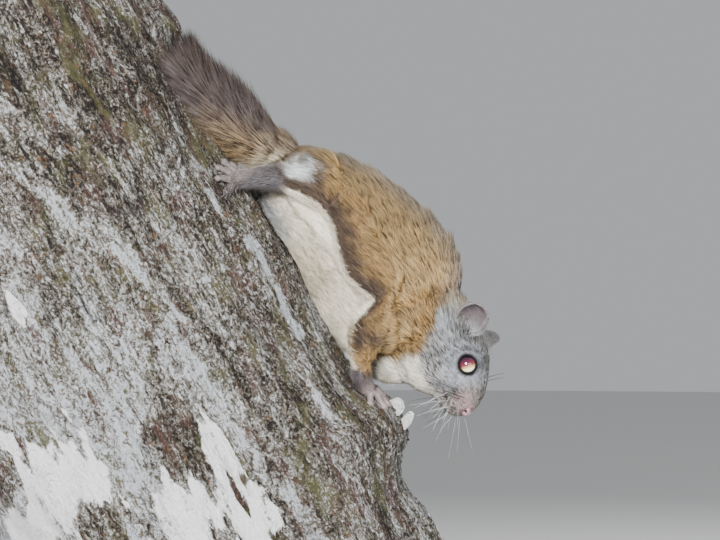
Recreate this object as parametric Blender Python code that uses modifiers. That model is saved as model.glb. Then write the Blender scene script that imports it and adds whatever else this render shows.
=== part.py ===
"""Flying squirrel, head down on a cut length of trunk that a plain display stand holds."""

import math
import random

import bmesh
import bpy
from mathutils import Matrix, Vector, noise

# Units, seed and the gap that keeps neighbouring solids apart
MM = 0.001
SEED = 7
GAP = 0.30

# World frame in millimetres: X to the right, Y away from the viewer, Z up.
# CLING runs down the trunk towards the head, OUT stands away from the bark.
CLING = Vector((0.48, 0.0, -0.8775)).normalized()
OUT = Vector((0.8775, 0.0, 0.48)).normalized()
LEFT = Vector((0.0, 1.0, 0.0))
CREST = Vector((-28.6, 0.0, -2.8))

# Cut length of trunk
TRUNK_RADIUS = 92.0
TRUNK_UPPER = -196.0
TRUNK_LOWER = 145.0
TRUNK_SIDES = 56
TRUNK_STEPS = 21
# Each swelling of the bark along the crest: place, length, height, width round the trunk
BARK_SWELLINGS = (
    (-129.0, 9.0, 6.6, 34.0),
    (-143.0, 11.0, 5.0, 34.0),
    (-8.0, 14.0, 2.2, 40.0),
    (74.0, 13.0, 10.5, 60.0),
    (88.0, 8.0, 6.0, 40.0),
    (52.0, 10.0, 1.0, 40.0),
    (109.0, 11.0, -4.0, 40.0),
)
BARK_RIDGE = 3.0
BARK_WAVES = 5.5

# Display stand
BASE_LENGTH = 250.0
BASE_WIDTH = 180.0
BASE_THICK = 15.0
BASE_CORNER = 24.0
BASE_EDGE = 2.5
BASE_CENTRE_X = -105.0
BASE_UNDER_Z = -242.0
ROD_RADIUS = 5.0
ROD_SIDES = 24
ROD_SEAT = 8.0
# Each rod: place along X, place along Y, depth that it is let into the trunk
RODS = ((-82.0, 24.0, 26.0), (-158.0, -24.0, 26.0))

# Head frame: centre, nose direction, the animal's left and its crown
HEAD_CENTRE = Vector((45.5, -5.0, -40.6))
HEAD_YAW = math.radians(-25.0)
HEAD_PITCH = math.radians(-10.0)
EYE_AT = Vector((9.0, 10.4, 3.2))
EYE_LOOK = Vector((0.34, 0.92, 0.20))
EYE_RADIUS = 4.7
EAR_AT = Vector((-8.5, 9.5, 8.5))
EAR_LEAN = Vector((-0.36, 1.00, 0.78))
EAR_OPEN = Vector((0.80, 0.52, -0.30))
EAR_LENGTH = 18.5
EAR_WIDTH = 15.0
EAR_DEPTH = 9.0
EAR_WALL = 1.0
EAR_FACES = 230

# A cut that leaves less or more than these shares of a solid has failed
LEAST_SHARE = 0.001
MOST_SHARE = 1.0001
THIN_TRIES = (1.0, 1.05, 1.1, 1.2, 1.35)

VOXEL_BODY = 1.0 * MM
VOXEL_HEAD = 0.7 * MM
VOXEL_FOOT = 0.5 * MM

ORIGIN = Vector((BASE_CENTRE_X, 0.0, BASE_UNDER_Z))
rng = random.Random(SEED)


# Places


def world(point):
    """A point in millimetres of the world frame, as metres from the base's underside."""
    return (Vector(point) - ORIGIN) * MM


def on_body(s, y, h):
    """s runs along the trunk to the head, y to the animal's left, h away from the bark."""
    return world(CREST + CLING * s + LEFT * y + OUT * h)


def head_axes():
    level = CLING * math.cos(HEAD_YAW) + LEFT * math.sin(HEAD_YAW)
    nose = level * math.cos(HEAD_PITCH) + OUT * math.sin(HEAD_PITCH)
    side = LEFT * math.cos(HEAD_YAW) - CLING * math.sin(HEAD_YAW)
    return nose, side, nose.cross(side)


HEAD_NOSE, HEAD_SIDE, HEAD_CROWN = head_axes()


def head_turn(direction, mirror=1.0):
    """A direction of the head frame, mirrored to the right side with mirror -1."""
    return HEAD_NOSE * direction[0] + HEAD_SIDE * direction[1] * mirror + HEAD_CROWN * direction[2]


def on_head(point, mirror=1.0):
    return world(HEAD_CENTRE + head_turn(point, mirror))


def between(stops, place):
    """Straight-line reading of a table whose first column is the place."""
    if place <= stops[0][0]:
        return list(stops[0][1:])
    for low, high in zip(stops, stops[1:]):
        if place <= high[0]:
            share = (place - low[0]) / (high[0] - low[0])
            return [a + (b - a) * share for a, b in zip(low[1:], high[1:])]
    return list(stops[-1][1:])


def bark_height(s, turn):
    """How far the bark stands off its plain cylinder at a place along and round the trunk."""
    across = turn * TRUNK_RADIUS
    height = 0.0
    for place, length, lift, width in BARK_SWELLINGS:
        along = (s - place) / length
        height += lift * math.exp(-along * along - (across / width) ** 2)
    folds = noise.noise(Vector((s * 0.018, math.cos(turn) * 2.1, math.sin(turn) * 2.1)))
    ridges = noise.noise(Vector((s * 0.012, math.cos(turn) * BARK_WAVES, math.sin(turn) * BARK_WAVES)))
    away = min(1.0, abs(across) / 60.0)
    return height + away * (2.0 * BARK_RIDGE * folds) + (0.35 + away) * BARK_RIDGE * ridges


def bark_at(s, y):
    """Height h of the bark above the crest line at a place beside it."""
    turn = math.asin(max(-0.95, min(0.95, y / TRUNK_RADIUS)))
    radius = TRUNK_RADIUS + bark_height(s, turn)
    return radius * math.cos(turn) - TRUNK_RADIUS


# Mesh helpers


def new_object(name, bm, collection=None):
    mesh = bpy.data.meshes.new(name)
    bm.to_mesh(mesh)
    bm.free()
    made = bpy.data.objects.new(name, mesh)
    (collection or bpy.context.scene.collection).objects.link(made)
    return made


def copy_of(source, name):
    made = bpy.data.objects.new(name, source.data.copy())
    bpy.context.scene.collection.objects.link(made)
    return made


def drop(*objects):
    for old in objects:
        bpy.data.objects.remove(old, do_unlink=True)


def apply_all(target):
    graph = bpy.context.evaluated_depsgraph_get()
    graph.update()
    mesh = bpy.data.meshes.new_from_object(target.evaluated_get(graph))
    target.modifiers.clear()
    target.data = mesh
    return target


def skin_over(bm, rings, closed_ends=True):
    """Faces from ring to ring over vertices made in order, with the two ends filled."""
    sides = len(rings[0])
    for low, high in zip(rings, rings[1:]):
        for i in range(sides):
            j = (i + 1) % sides
            bm.faces.new((low[i], low[j], high[j], high[i]))
    if closed_ends:
        bm.faces.new(list(reversed(rings[0])))
        bm.faces.new(rings[-1])


def add_loft(bm, sections, sides):
    """sections: centre, half axis across, half axis up, each a vector in metres."""
    rings = []
    for centre, across, up in sections:
        ring = []
        for i in range(sides):
            turn = 2.0 * math.pi * i / sides
            ring.append(bm.verts.new(centre + across * math.cos(turn) + up * math.sin(turn)))
        rings.append(ring)
    skin_over(bm, rings)


def add_ball(bm, centre, radii, axes=None, rounds=2):
    frame = Matrix.Identity(3)
    if axes:
        frame = Matrix(axes).transposed()
    shape = frame @ Matrix.Diagonal(Vector(radii)) @ frame.transposed()
    place = Matrix.Translation(centre) @ shape.to_4x4()
    bmesh.ops.create_icosphere(bm, subdivisions=rounds, radius=1.0, matrix=place)


def add_limb(bm, points, radii, sides=14):
    """Round limb through the points, with a ball at each joint."""
    for (start, end), (thick, thin) in zip(zip(points, points[1:]), zip(radii, radii[1:])):
        along = (end - start).normalized()
        across = along.orthogonal().normalized()
        up = along.cross(across)
        add_loft(bm, [(start, across * thick, up * thick), (end, across * thin, up * thin)], sides)
    for point, radius in zip(points, radii):
        add_ball(bm, point, (radius,) * 3)


def fused(name, bm, voxel, smooth_rounds, faces):
    """One closed surface over overlapping forms, smoothed and then thinned out to a face count."""
    bmesh.ops.recalc_face_normals(bm, faces=bm.faces[:])
    made = new_object(name, bm)
    remesh = made.modifiers.new("Fuse", "REMESH")
    remesh.mode = "VOXEL"
    remesh.voxel_size = voxel
    smooth = made.modifiers.new("Soften", "SMOOTH")
    smooth.factor = 0.5
    smooth.iterations = smooth_rounds
    apply_all(made)
    return thinned(made, faces) if faces else made


def thinned(target, faces):
    """Thins a closed surface to about a face count, and keeps it closed."""
    before = target.data
    count = sum(len(face.vertices) - 2 for face in before.polygons)
    for share in THIN_TRIES:
        if count <= faces * share:
            break
        fewer = target.modifiers.new("Thin", "DECIMATE")
        fewer.ratio = faces * share / count
        apply_all(target)
        if volume_if_closed(target.data) > 0.0:
            break
        target.data = before
    return target


def swollen(source, by=GAP):
    """Copy of a solid, grown by the gap along its normals."""
    made = copy_of(source, source.name + "_room")
    grow = made.modifiers.new("Grow", "DISPLACE")
    grow.strength = by * MM
    grow.mid_level = 0.0
    return apply_all(made)


def volume_if_closed(mesh):
    """Volume of a mesh, or zero where it isn't closed."""
    bm = bmesh.new()
    bm.from_mesh(mesh)
    closed = all(edge.is_manifold and edge.is_contiguous for edge in bm.edges)
    volume = bm.calc_volume(signed=True) if closed else 0.0
    bm.free()
    return volume


def combine(target, tool, operation, solver="EXACT"):
    """Boolean by the exact solver, or by the manifold one where that leaves no closed solid."""
    before = target.data
    volume = volume_if_closed(before)
    most = volume * (MOST_SHARE if operation != "UNION" else 2.0)
    for method in (solver, "MANIFOLD"):
        change = target.modifiers.new("Combine", "BOOLEAN")
        change.operation = operation
        change.solver = method
        change.object = tool
        apply_all(target)
        if volume * LEAST_SHARE < volume_if_closed(target.data) < most:
            break
        target.data = before
    drop(tool)
    return target


def less(target, neighbour, solver="EXACT"):
    """Takes the neighbour and its gap out of the target."""
    return combine(target, swollen(neighbour), "DIFFERENCE", solver)


def keep_largest(target):
    bm = bmesh.new()
    bm.from_mesh(target.data)
    left = set(bm.faces)
    groups = []
    while left:
        stack = [left.pop()]
        group = list(stack)
        while stack:
            face = stack.pop()
            for edge in face.edges:
                for other in edge.link_faces:
                    if other in left:
                        left.remove(other)
                        stack.append(other)
                        group.append(other)
        groups.append(group)
    groups.sort(key=lambda faces: sum(face.calc_area() for face in faces))
    small = [face for group in groups[:-1] for face in group]
    bmesh.ops.delete(bm, geom=small, context="FACES")
    bm.to_mesh(target.data)
    bm.free()
    return target


def box_tool(name, centre, axes, half):
    """Block with its middle at centre, its three axes and half sizes in millimetres."""
    bm = bmesh.new()
    place = Matrix.Translation(centre) @ Matrix([axis.normalized() for axis in axes]).transposed().to_4x4()
    sizes = Matrix.Diagonal(Vector([2.0 * size * MM for size in half])).to_4x4()
    bmesh.ops.create_cube(bm, size=1.0, matrix=place @ sizes)
    return new_object(name, bm)


def split(target, name, centre, axes, half):
    """Parts a block-shaped share off the target, a gap away from what is left."""
    piece = copy_of(target, name)
    combine(piece, box_tool(name + "_share", centre, axes, half), "INTERSECT")
    wider = [size + GAP for size in half]
    combine(target, box_tool(name + "_room", centre, axes, wider), "DIFFERENCE")
    keep_largest(piece)
    return piece


# Trunk and stand


def make_trunk(name, grow=0.0):
    bm = bmesh.new()
    rings = []
    for step in range(TRUNK_STEPS + 1):
        s = TRUNK_UPPER + (TRUNK_LOWER - TRUNK_UPPER) * step / TRUNK_STEPS
        ring = []
        for side in range(TRUNK_SIDES):
            turn = math.pi - 2.0 * math.pi * side / TRUNK_SIDES
            radius = TRUNK_RADIUS + bark_height(s, turn) + grow
            y = radius * math.sin(turn)
            h = radius * math.cos(turn) - TRUNK_RADIUS
            ring.append(bm.verts.new(on_body(s, y, h)))
        rings.append(ring)
    skin_over(bm, rings)
    bmesh.ops.recalc_face_normals(bm, faces=bm.faces[:])
    return new_object(name, bm)


def make_rod_tool(name, x, y, z_low, z_high, radius):
    bm = bmesh.new()
    middle = world(Vector((x, y, (z_low + z_high) / 2.0)))
    bmesh.ops.create_cone(bm, cap_ends=True, segments=ROD_SIDES, radius1=radius * MM,
                          radius2=radius * MM, depth=(z_high - z_low) * MM,
                          matrix=Matrix.Translation(middle))
    return new_object(name, bm)


def underside_of(trunk, x, y):
    """Height at which a plumb line from below meets the trunk."""
    start = world(Vector((x, y, BASE_UNDER_Z)))
    hit, place, _, _ = trunk.ray_cast(start, Vector((0.0, 0.0, 1.0)))
    if not hit:
        raise RuntimeError("no trunk above the rod")
    return place.z / MM + ORIGIN.z


def make_base():
    bm = bmesh.new()
    middle = world(Vector((BASE_CENTRE_X, 0.0, BASE_UNDER_Z + BASE_THICK / 2.0)))
    sizes = Matrix.Diagonal((BASE_LENGTH * MM, BASE_WIDTH * MM, BASE_THICK * MM, 1.0))
    bmesh.ops.create_cube(bm, size=1.0, matrix=Matrix.Translation(middle) @ sizes)
    upright = [edge for edge in bm.edges if abs((edge.verts[0].co - edge.verts[1].co).z) > 1e-4]
    bmesh.ops.bevel(bm, geom=upright, offset=BASE_CORNER * MM, segments=5, profile=0.5,
                    affect="EDGES", material=-1)
    top = [edge for edge in bm.edges if all(v.co.z > (BASE_THICK - 0.1) * MM for v in edge.verts)]
    bmesh.ops.bevel(bm, geom=top, offset=BASE_EDGE * MM, segments=2, profile=0.5,
                    affect="EDGES", material=-1)
    return new_object("stand_base", bm)


def make_stand(trunk):
    base = make_base()
    top = BASE_UNDER_Z + BASE_THICK
    made = [base]
    for count, (x, y, depth) in enumerate(RODS, 1):
        under = min(underside_of(trunk, x + dx, y + dy) for dx in (-ROD_RADIUS, ROD_RADIUS)
                    for dy in (-ROD_RADIUS, ROD_RADIUS))
        low = top - ROD_SEAT
        high = under + depth
        seat = make_rod_tool(f"seat_{count}", x, y, low - GAP, top + 5.0, ROD_RADIUS + GAP)
        combine(base, seat, "DIFFERENCE")
        socket = make_rod_tool(f"socket_{count}", x, y, under - 60.0, high + GAP, ROD_RADIUS + GAP)
        combine(trunk, socket, "DIFFERENCE")
        made.append(make_rod_tool(f"stand_rod_{count}", x, y, low, high, ROD_RADIUS))
    return made


# Body


# Torso: s, top h, bottom h, half width
TORSO = (
    (-60.0, 27.5, 13.0, 8.0),
    (-55.0, 32.0, 5.0, 13.0),
    (-47.0, 40.0, 0.0, 19.5),
    (-36.0, 50.5, -2.0, 25.0),
    (-24.0, 58.5, -3.0, 28.0),
    (-8.0, 65.5, -3.0, 29.0),
    (8.0, 71.0, -3.0, 29.0),
    (23.0, 72.5, -3.0, 28.0),
    (34.0, 70.0, -1.0, 26.0),
    (43.0, 66.0, 3.0, 23.0),
    (51.0, 61.5, 8.0, 19.0),
)

# Neck: s, y, h of its middle, half width, half height
NECK = (
    (34.0, 0.0, 37.0, 24.0, 31.0),
    (44.0, -0.5, 35.5, 23.0, 30.0),
    (53.0, -2.0, 34.5, 21.5, 28.5),
    (60.0, -4.0, 34.5, 19.6, 26.0),
    (67.0, -6.5, 37.0, 16.6, 23.0),
    (74.0, -9.0, 40.0, 12.5, 17.5),
    (80.0, -11.0, 38.5, 9.0, 10.0),
)

# Head: forward, up at the top, up at the bottom, half width
HEAD = (
    (-18.0, 10.0, -13.0, 11.0),
    (-13.0, 13.2, -15.5, 13.4),
    (-6.0, 15.2, -16.5, 14.6),
    (1.0, 15.6, -16.8, 14.6),
    (7.0, 14.6, -17.2, 13.4),
    (12.0, 12.3, -17.2, 11.9),
    (17.0, 9.3, -16.2, 10.2),
    (21.5, 6.2, -14.2, 8.4),
    (25.0, 2.4, -12.0, 6.3),
    (26.8, -0.8, -9.6, 4.0),
)


def torso_sections():
    made = []
    for s, top, bottom, half in TORSO:
        centre = on_body(s, 0.0, (top + bottom) / 2.0)
        made.append((centre, LEFT * half * MM, OUT * (top - bottom) / 2.0 * MM))
    return made


def neck_sections():
    return [(on_body(s, y, h), LEFT * half * MM, OUT * rise * MM) for s, y, h, half, rise in NECK]


def head_sections():
    made = []
    for forward, top, bottom, half in HEAD:
        centre = on_head((forward, 0.0, (top + bottom) / 2.0))
        made.append((centre, HEAD_SIDE * half * MM, HEAD_CROWN * (top - bottom) / 2.0 * MM))
    return made


# Limbs, as the left side's: points s, y, h and a radius each
FORELEG = (
    (46.0, 13.0, 33.0, 14.0),
    (41.0, 20.0, 22.0, 10.5),
    (38.0, 25.5, 13.0, 7.6),
    (45.0, 27.5, 8.5, 6.4),
    (51.5, 27.5, 6.5, 5.0),
)
HINDLEG = (
    (-33.0, 13.0, 31.0, 15.0),
    (-27.0, 21.0, 30.0, 11.0),
    (-25.0, 26.0, 28.0, 8.0),
    (-34.0, 27.5, 21.5, 7.0),
    (-43.0, 27.5, 15.5, 6.2),
)


def limb_points(table, mirror):
    points = [on_body(s, y * mirror, h) for s, y, h, _ in table]
    return points, [row[-1] * MM for row in table]


def make_flesh():
    """Torso, neck, head and limbs fused into one surface before they are parted."""
    bm = bmesh.new()
    add_loft(bm, torso_sections(), 32)
    add_loft(bm, neck_sections(), 28)
    for mirror in (-1.0, 1.0):
        add_limb(bm, *limb_points(FORELEG, mirror))
        add_limb(bm, *limb_points(HINDLEG, mirror))
    add_head_forms(bm)
    return fused("flesh", bm, VOXEL_BODY, 5, None)


def add_head_forms(bm):
    add_loft(bm, head_sections(), 28)
    for mirror in (-1.0, 1.0):
        axes = [head_turn(axis) for axis in ((1, 0, 0), (0, 1, 0), (0, 0, 1))]
        # Cheek, whisker pad, jowl, the swelling round the eye and the root of the ear
        add_ball(bm, on_head((2.0, 7.5, -8.0), mirror), (11.0 * MM, 7.6 * MM, 8.4 * MM), axes)
        add_ball(bm, on_head((20.4, 5.0, -7.2), mirror), (5.4 * MM, 4.2 * MM, 4.4 * MM), axes)
        add_ball(bm, on_head((9.0, 4.5, -11.5), mirror), (9.0 * MM, 6.0 * MM, 7.0 * MM), axes)
        add_ball(bm, on_head((8.5, 8.4, 3.2), mirror), (6.6 * MM, 4.9 * MM, 6.4 * MM), axes)
        add_ball(bm, on_head((-9.0, 8.0, 7.5), mirror), (5.0 * MM, 4.4 * MM, 4.6 * MM), axes)


# Parted flesh: name, middle s, y, h of a block that takes the share, and its half sizes
LIMB_SHARES = (
    ("foreleg", 46.0, 38.0, 12.0, 18.0, 20.0, 15.0),
    ("hindleg", -40.0, 37.0, 14.0, 25.0, 20.0, 21.0),
)
HEAD_SHARE_FROM = (-6.5, 0.0, -1.5)
HEAD_SHARE_TILT = math.radians(30.0)
HEAD_SHARE_HALF = (25.0, 32.0, 34.0)
NECK_SHARE_FROM = 42.0
NECK_SHARE_HALF = (30.0, 40.0, 40.0)
FINE_FACES = 4500
COARSE_FACES = 1800


def part_flesh(flesh):
    """Parts the fused flesh into head, limbs, neck and torso."""
    nodes = {}
    ahead = HEAD_NOSE * math.cos(HEAD_SHARE_TILT) + HEAD_CROWN * math.sin(HEAD_SHARE_TILT)
    axes = (ahead, HEAD_SIDE, ahead.cross(HEAD_SIDE))
    middle = on_head(HEAD_SHARE_FROM) + ahead * HEAD_SHARE_HALF[0] * MM
    fine = thinned(copy_of(flesh, "fine"), FINE_FACES)
    nodes["head"] = split(fine, "head", middle, axes, HEAD_SHARE_HALF)
    drop(fine)
    thinned(flesh, COARSE_FACES)
    drop(split(flesh, "head_left_out", middle, axes, HEAD_SHARE_HALF))
    axes = (CLING, LEFT, OUT)
    for limb, s, y, h, *half in LIMB_SHARES:
        for side, mirror in (("left", 1.0), ("right", -1.0)):
            name = f"{limb}_{side}"
            nodes[name] = split(flesh, name, on_body(s, y * mirror, h), axes, half)
    middle = on_body(NECK_SHARE_FROM + NECK_SHARE_HALF[0], 0.0, NECK_SHARE_HALF[2])
    nodes["neck"] = split(flesh, "neck", middle, axes, NECK_SHARE_HALF)
    flesh.name = "torso"
    nodes["torso"] = keep_largest(flesh)
    return nodes


# Skin fold along the flank, left side: s, then y and h where it leaves the flank, then of its edge
FOLD = (
    (-44.0, 18.0, 27.0, 27.0, 14.0),
    (-38.0, 19.5, 34.0, 29.0, 14.6),
    (-31.0, 21.5, 40.0, 31.0, 19.8),
    (-23.0, 23.0, 43.0, 32.0, 24.2),
    (-14.0, 24.0, 44.0, 32.6, 25.2),
    (-6.0, 24.5, 43.0, 32.6, 23.3),
    (2.0, 24.5, 42.0, 32.4, 20.6),
    (11.0, 24.5, 41.0, 32.4, 19.4),
    (19.0, 24.0, 42.0, 32.4, 22.2),
    (26.5, 23.5, 42.0, 32.4, 25.4),
    (28.8, 23.0, 39.0, 32.0, 18.5),
    (31.5, 22.0, 36.0, 31.0, 12.0),
    (36.0, 21.0, 31.0, 30.0, 7.8),
    (42.0, 21.0, 26.0, 29.0, 5.2),
    (49.0, 22.0, 18.0, 28.4, 4.6),
)
FOLD_HALF_THICK = 1.8
FOLD_FACES = 220


def make_fold(side, mirror, neighbours):
    bm = bmesh.new()
    sections = []
    for s, y_top, h_top, y_edge, h_edge in FOLD:
        top = on_body(s, y_top * mirror, h_top)
        edge = on_body(s, y_edge * mirror, h_edge)
        hang = (edge - top) / 2.0
        thick = hang.normalized().cross(CLING) * FOLD_HALF_THICK * MM
        sections.append(((top + edge) / 2.0, hang, thick))
    add_loft(bm, sections, 14)
    fold = fused(f"patagium_{side}", bm, VOXEL_HEAD, 3, FOLD_FACES)
    for neighbour in neighbours:
        less(fold, neighbour, "MANIFOLD")
    return keep_largest(fold)


# Feet, left side. Palm or sole: s, y, height over the bark, radius.
FORE_PALM = ((52.5, 26.5, 6.6, 4.0), (56.5, 25.0, 4.0, 3.8), (60.0, 24.0, 2.8, 3.8))
FORE_TOES = ((67.0, 15.5), (71.0, 20.5), (71.0, 26.5), (66.5, 31.5))
HIND_PALM = ((-43.0, 27.5, 17.5, 5.4), (-47.5, 29.5, 10.5, 4.6), (-51.0, 32.0, 4.0, 4.0))
HIND_TOES = ((-58.5, 25.5), (-61.0, 31.0), (-60.0, 36.5), (-55.5, 41.0), (-48.0, 42.5))
TOE_RADII = (1.75, 1.6, 1.45)
TOE_ARCH = 1.6
CLAW_LENGTH = 2.8
CLAW_RADIUS = 0.75
FOOT_FACES = 240


def over_bark(s, y, lift, mirror):
    return on_body(s, y * mirror, bark_at(s, y * mirror) + lift)


def make_foot(name, mirror, palm, toes):
    bm = bmesh.new()
    points = [over_bark(s, y, lift, mirror) for s, y, lift, _ in palm]
    add_limb(bm, points, [row[-1] * MM for row in palm])
    root_s, root_y = palm[-1][:2]
    claws = []
    for s, y in toes:
        knuckle_s = root_s + (s - root_s) * 0.5
        knuckle_y = root_y + (y - root_y) * 0.62
        start = over_bark(root_s, root_y, TOE_RADII[0] + 0.6, mirror)
        knuckle = over_bark(knuckle_s, knuckle_y, TOE_RADII[1] + TOE_ARCH, mirror)
        tip = over_bark(s, y, TOE_RADII[2] * 0.8, mirror)
        add_limb(bm, (start, knuckle, tip), [radius * MM for radius in TOE_RADII], 10)
        claws.append((tip, (tip - knuckle).normalized()))
    foot = fused(name, bm, VOXEL_FOOT, 3, FOOT_FACES)
    for tip, along in claws:
        claw = bmesh.new()
        start = tip + OUT * 0.7 * MM
        bend = start + (along * 1.5 + OUT * 0.2) * MM
        end = start + (along * CLAW_LENGTH - OUT * 1.1) * MM
        across = along.cross(OUT).normalized()
        sizes = (CLAW_RADIUS, CLAW_RADIUS * 0.8, CLAW_RADIUS * 0.35)
        add_loft(claw, [(place, across * size * 0.8 * MM, OUT * size * MM)
                        for place, size in zip((start, bend, end), sizes)], 4)
        bmesh.ops.recalc_face_normals(claw, faces=claw.faces[:])
        combine(foot, new_object("claw", claw), "UNION")
    return foot


# Head's own forms

# Line of the mouth: forward, side, up
MOUTH = ((26.0, 0.0, -9.4), (24.6, 3.0, -9.9), (21.8, 6.0, -10.6), (18.0, 8.2, -11.0), (14.6, 9.6, -10.8))
MOUTH_DEPTH = 0.62
LIP_DROP = -1.2
LIP_RADIUS = 0.8
LID_PLANE = 2.4
LID_RADIUS = 0.75
NOSE_LOBES = ((26.5, 1.3, -3.7), (26.8, 0.0, -4.8))
NOSTRIL = (27.9, 1.55, -4.2)


def eye_place(mirror):
    look = head_turn(EYE_LOOK.normalized(), mirror)
    return on_head(EYE_AT, mirror), look


def on_surface(target, point):
    _, place, _, _ = target.closest_point_on_mesh(point)
    return place


def union_shell(target, bm):
    bmesh.ops.recalc_face_normals(bm, faces=bm.faces[:])
    return combine(target, new_object("shell", bm), "UNION")


def cut_shell(target, bm):
    bmesh.ops.recalc_face_normals(bm, faces=bm.faces[:])
    return combine(target, new_object("shell", bm), "DIFFERENCE")


def add_tube(bm, points, radii, sides):
    """Tube that bends through its points with one ring at each."""
    sections = []
    for i, point in enumerate(points):
        along = (points[min(i + 1, len(points) - 1)] - points[max(i - 1, 0)]).normalized()
        across = along.cross(HEAD_CROWN).normalized()
        sections.append((point, across * radii[i], along.cross(across) * radii[i]))
    add_loft(bm, sections, sides)


def add_ring(bm, centre, axis, radius, thick, around=18, sides=6):
    """Closed ring of round section about an axis."""
    one = axis.orthogonal().normalized()
    two = axis.cross(one)
    rings = []
    for i in range(around):
        turn = 2.0 * math.pi * i / around
        outward = one * math.cos(turn) + two * math.sin(turn)
        ring = []
        for j in range(sides):
            roll = 2.0 * math.pi * j / sides
            ring.append(bm.verts.new(centre + outward * (radius + thick * math.cos(roll))
                                     + axis * thick * math.sin(roll)))
        rings.append(ring)
    skin_over(bm, rings + rings[:1], closed_ends=False)


def finish_head(head):
    """Lids, nose pad, lips, mouth line, nostrils and eye sockets."""
    whole_mouth = [(f, -side, up) for f, side, up in reversed(MOUTH[1:])] + list(MOUTH)
    lip = [on_surface(head, on_head((f, side, up + LIP_DROP))) for f, side, up in whole_mouth]
    line = [on_surface(head, on_head(point)) for point in whole_mouth]
    taper = [0.45, 0.8, 1.0, 1.0, 1.0, 1.0, 1.0, 0.8, 0.45]
    lips = bmesh.new()
    inward = HEAD_CROWN * 0.35 * MM - HEAD_NOSE * 0.3 * MM
    add_tube(lips, [place + inward for place in lip], [LIP_RADIUS * MM * share for share in taper], 6)
    union_shell(head, lips)
    for mirror in (1.0, -1.0):
        centre, look = eye_place(mirror)
        lid = bmesh.new()
        rim = math.sqrt((EYE_RADIUS + GAP) ** 2 - LID_PLANE ** 2) + LID_RADIUS * 0.55
        add_ring(lid, centre + look * LID_PLANE * MM, look, rim * MM, LID_RADIUS * MM)
        union_shell(head, lid)
    for mirror in (1.0, -1.0):
        for place in NOSE_LOBES:
            if mirror > 0.0 or place[1] > 0.0:
                lobe = bmesh.new()
                add_ball(lobe, on_head(place, mirror), (1.75 * MM,) * 3)
                union_shell(head, lobe)
    for mirror in (1.0, -1.0):
        nostril = bmesh.new()
        axes = [head_turn(axis, mirror) for axis in ((1, 0.5, 0), (-0.5, 1, 0), (0, 0, 1))]
        axes = [axis.normalized() for axis in axes]
        add_ball(nostril, on_head(NOSTRIL, mirror), (1.3 * MM, 0.5 * MM, 0.75 * MM), axes, 1)
        cut_shell(head, nostril)
    groove = bmesh.new()
    add_tube(groove, line, [MOUTH_DEPTH * MM * share for share in taper], 6)
    cut_shell(head, groove)
    return keep_largest(head)


def make_eye(side, mirror, head):
    bm = bmesh.new()
    centre, _ = eye_place(mirror)
    add_ball(bm, centre, (EYE_RADIUS * MM,) * 3, rounds=3)
    eye = new_object(f"eye_{side}", bm)
    less(head, eye)
    return eye


def make_ear(side, mirror, neighbours):
    lean = head_turn(EAR_LEAN.normalized(), mirror).normalized()
    face = head_turn(EAR_OPEN.normalized(), mirror)
    face = (face - lean * face.dot(lean)).normalized()
    axes = (face, lean.cross(face), lean)
    centre = on_head(EAR_AT, mirror) + lean * (EAR_LENGTH / 2.0 - 2.8) * MM
    outer = bmesh.new()
    half = Vector((EAR_DEPTH, EAR_WIDTH, EAR_LENGTH)) / 2.0
    add_ball(outer, centre, half * MM, axes, 3)
    ear = new_object(f"ear_{side}", outer)
    inner = bmesh.new()
    hollow = Vector((half[0] * 1.25, half[1] - EAR_WALL, half[2] - EAR_WALL))
    shift = half[0] * 0.25 + EAR_WALL * 1.1
    add_ball(inner, centre + (face * shift + lean * 0.9) * MM, hollow * MM, axes, 3)
    cut_shell(ear, inner)
    thinned(ear, EAR_FACES)
    for neighbour in neighbours:
        less(ear, neighbour)
    return keep_largest(ear)


# Tail

# Middle line: distance up the trunk, y, h, tilt towards the near side in degrees, half width and half
# thickness over the tips of the hair
TAIL = (
    (46.0, 0.0, 25.0, 5.0, 14.0, 12.5),
    (56.0, -3.0, 17.0, 13.0, 17.5, 12.4),
    (66.0, -9.0, 12.0, 25.0, 19.5, 9.4),
    (77.0, -16.5, 7.6, 32.0, 20.0, 8.0),
    (88.0, -22.5, 4.4, 33.0, 18.0, 7.6),
    (97.0, -26.5, 2.8, 31.0, 14.5, 6.8),
    (104.0, -28.5, 2.2, 28.0, 11.0, 5.6),
)
# Core as a share of the way to the tips, and the stretch that carries locks
CORE_SHARE = 0.42
CORE_STEPS = 16
CORE_END = 0.45
TAIL_FROM = 50.0
TAIL_TO = -104.0
SIDE_ROWS = 11
FLAT_ROWS = 5
LOCK_WIDTH = 8.6
LOCK_FLATNESS = 0.30


def tail_frame(s):
    y, h, tilt, wide, thick = between(TAIL, -s)
    lean = math.radians(tilt)
    here = on_body(s, y, h)
    y_next, h_next = between(TAIL, 2.0 - s)[:2]
    along = (on_body(s - 2.0, y_next, h_next) - here).normalized()
    face = OUT * math.cos(lean) - LEFT * math.sin(lean)
    across = along.cross(face).normalized()
    return here, along, across, across.cross(along).normalized(), wide * MM, thick * MM


def tail_stop(place):
    """s of a place from 0 at the root of the tail to 1 at the end of its core."""
    return -TAIL_FROM + (TAIL_TO + TAIL_FROM) * place


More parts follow.
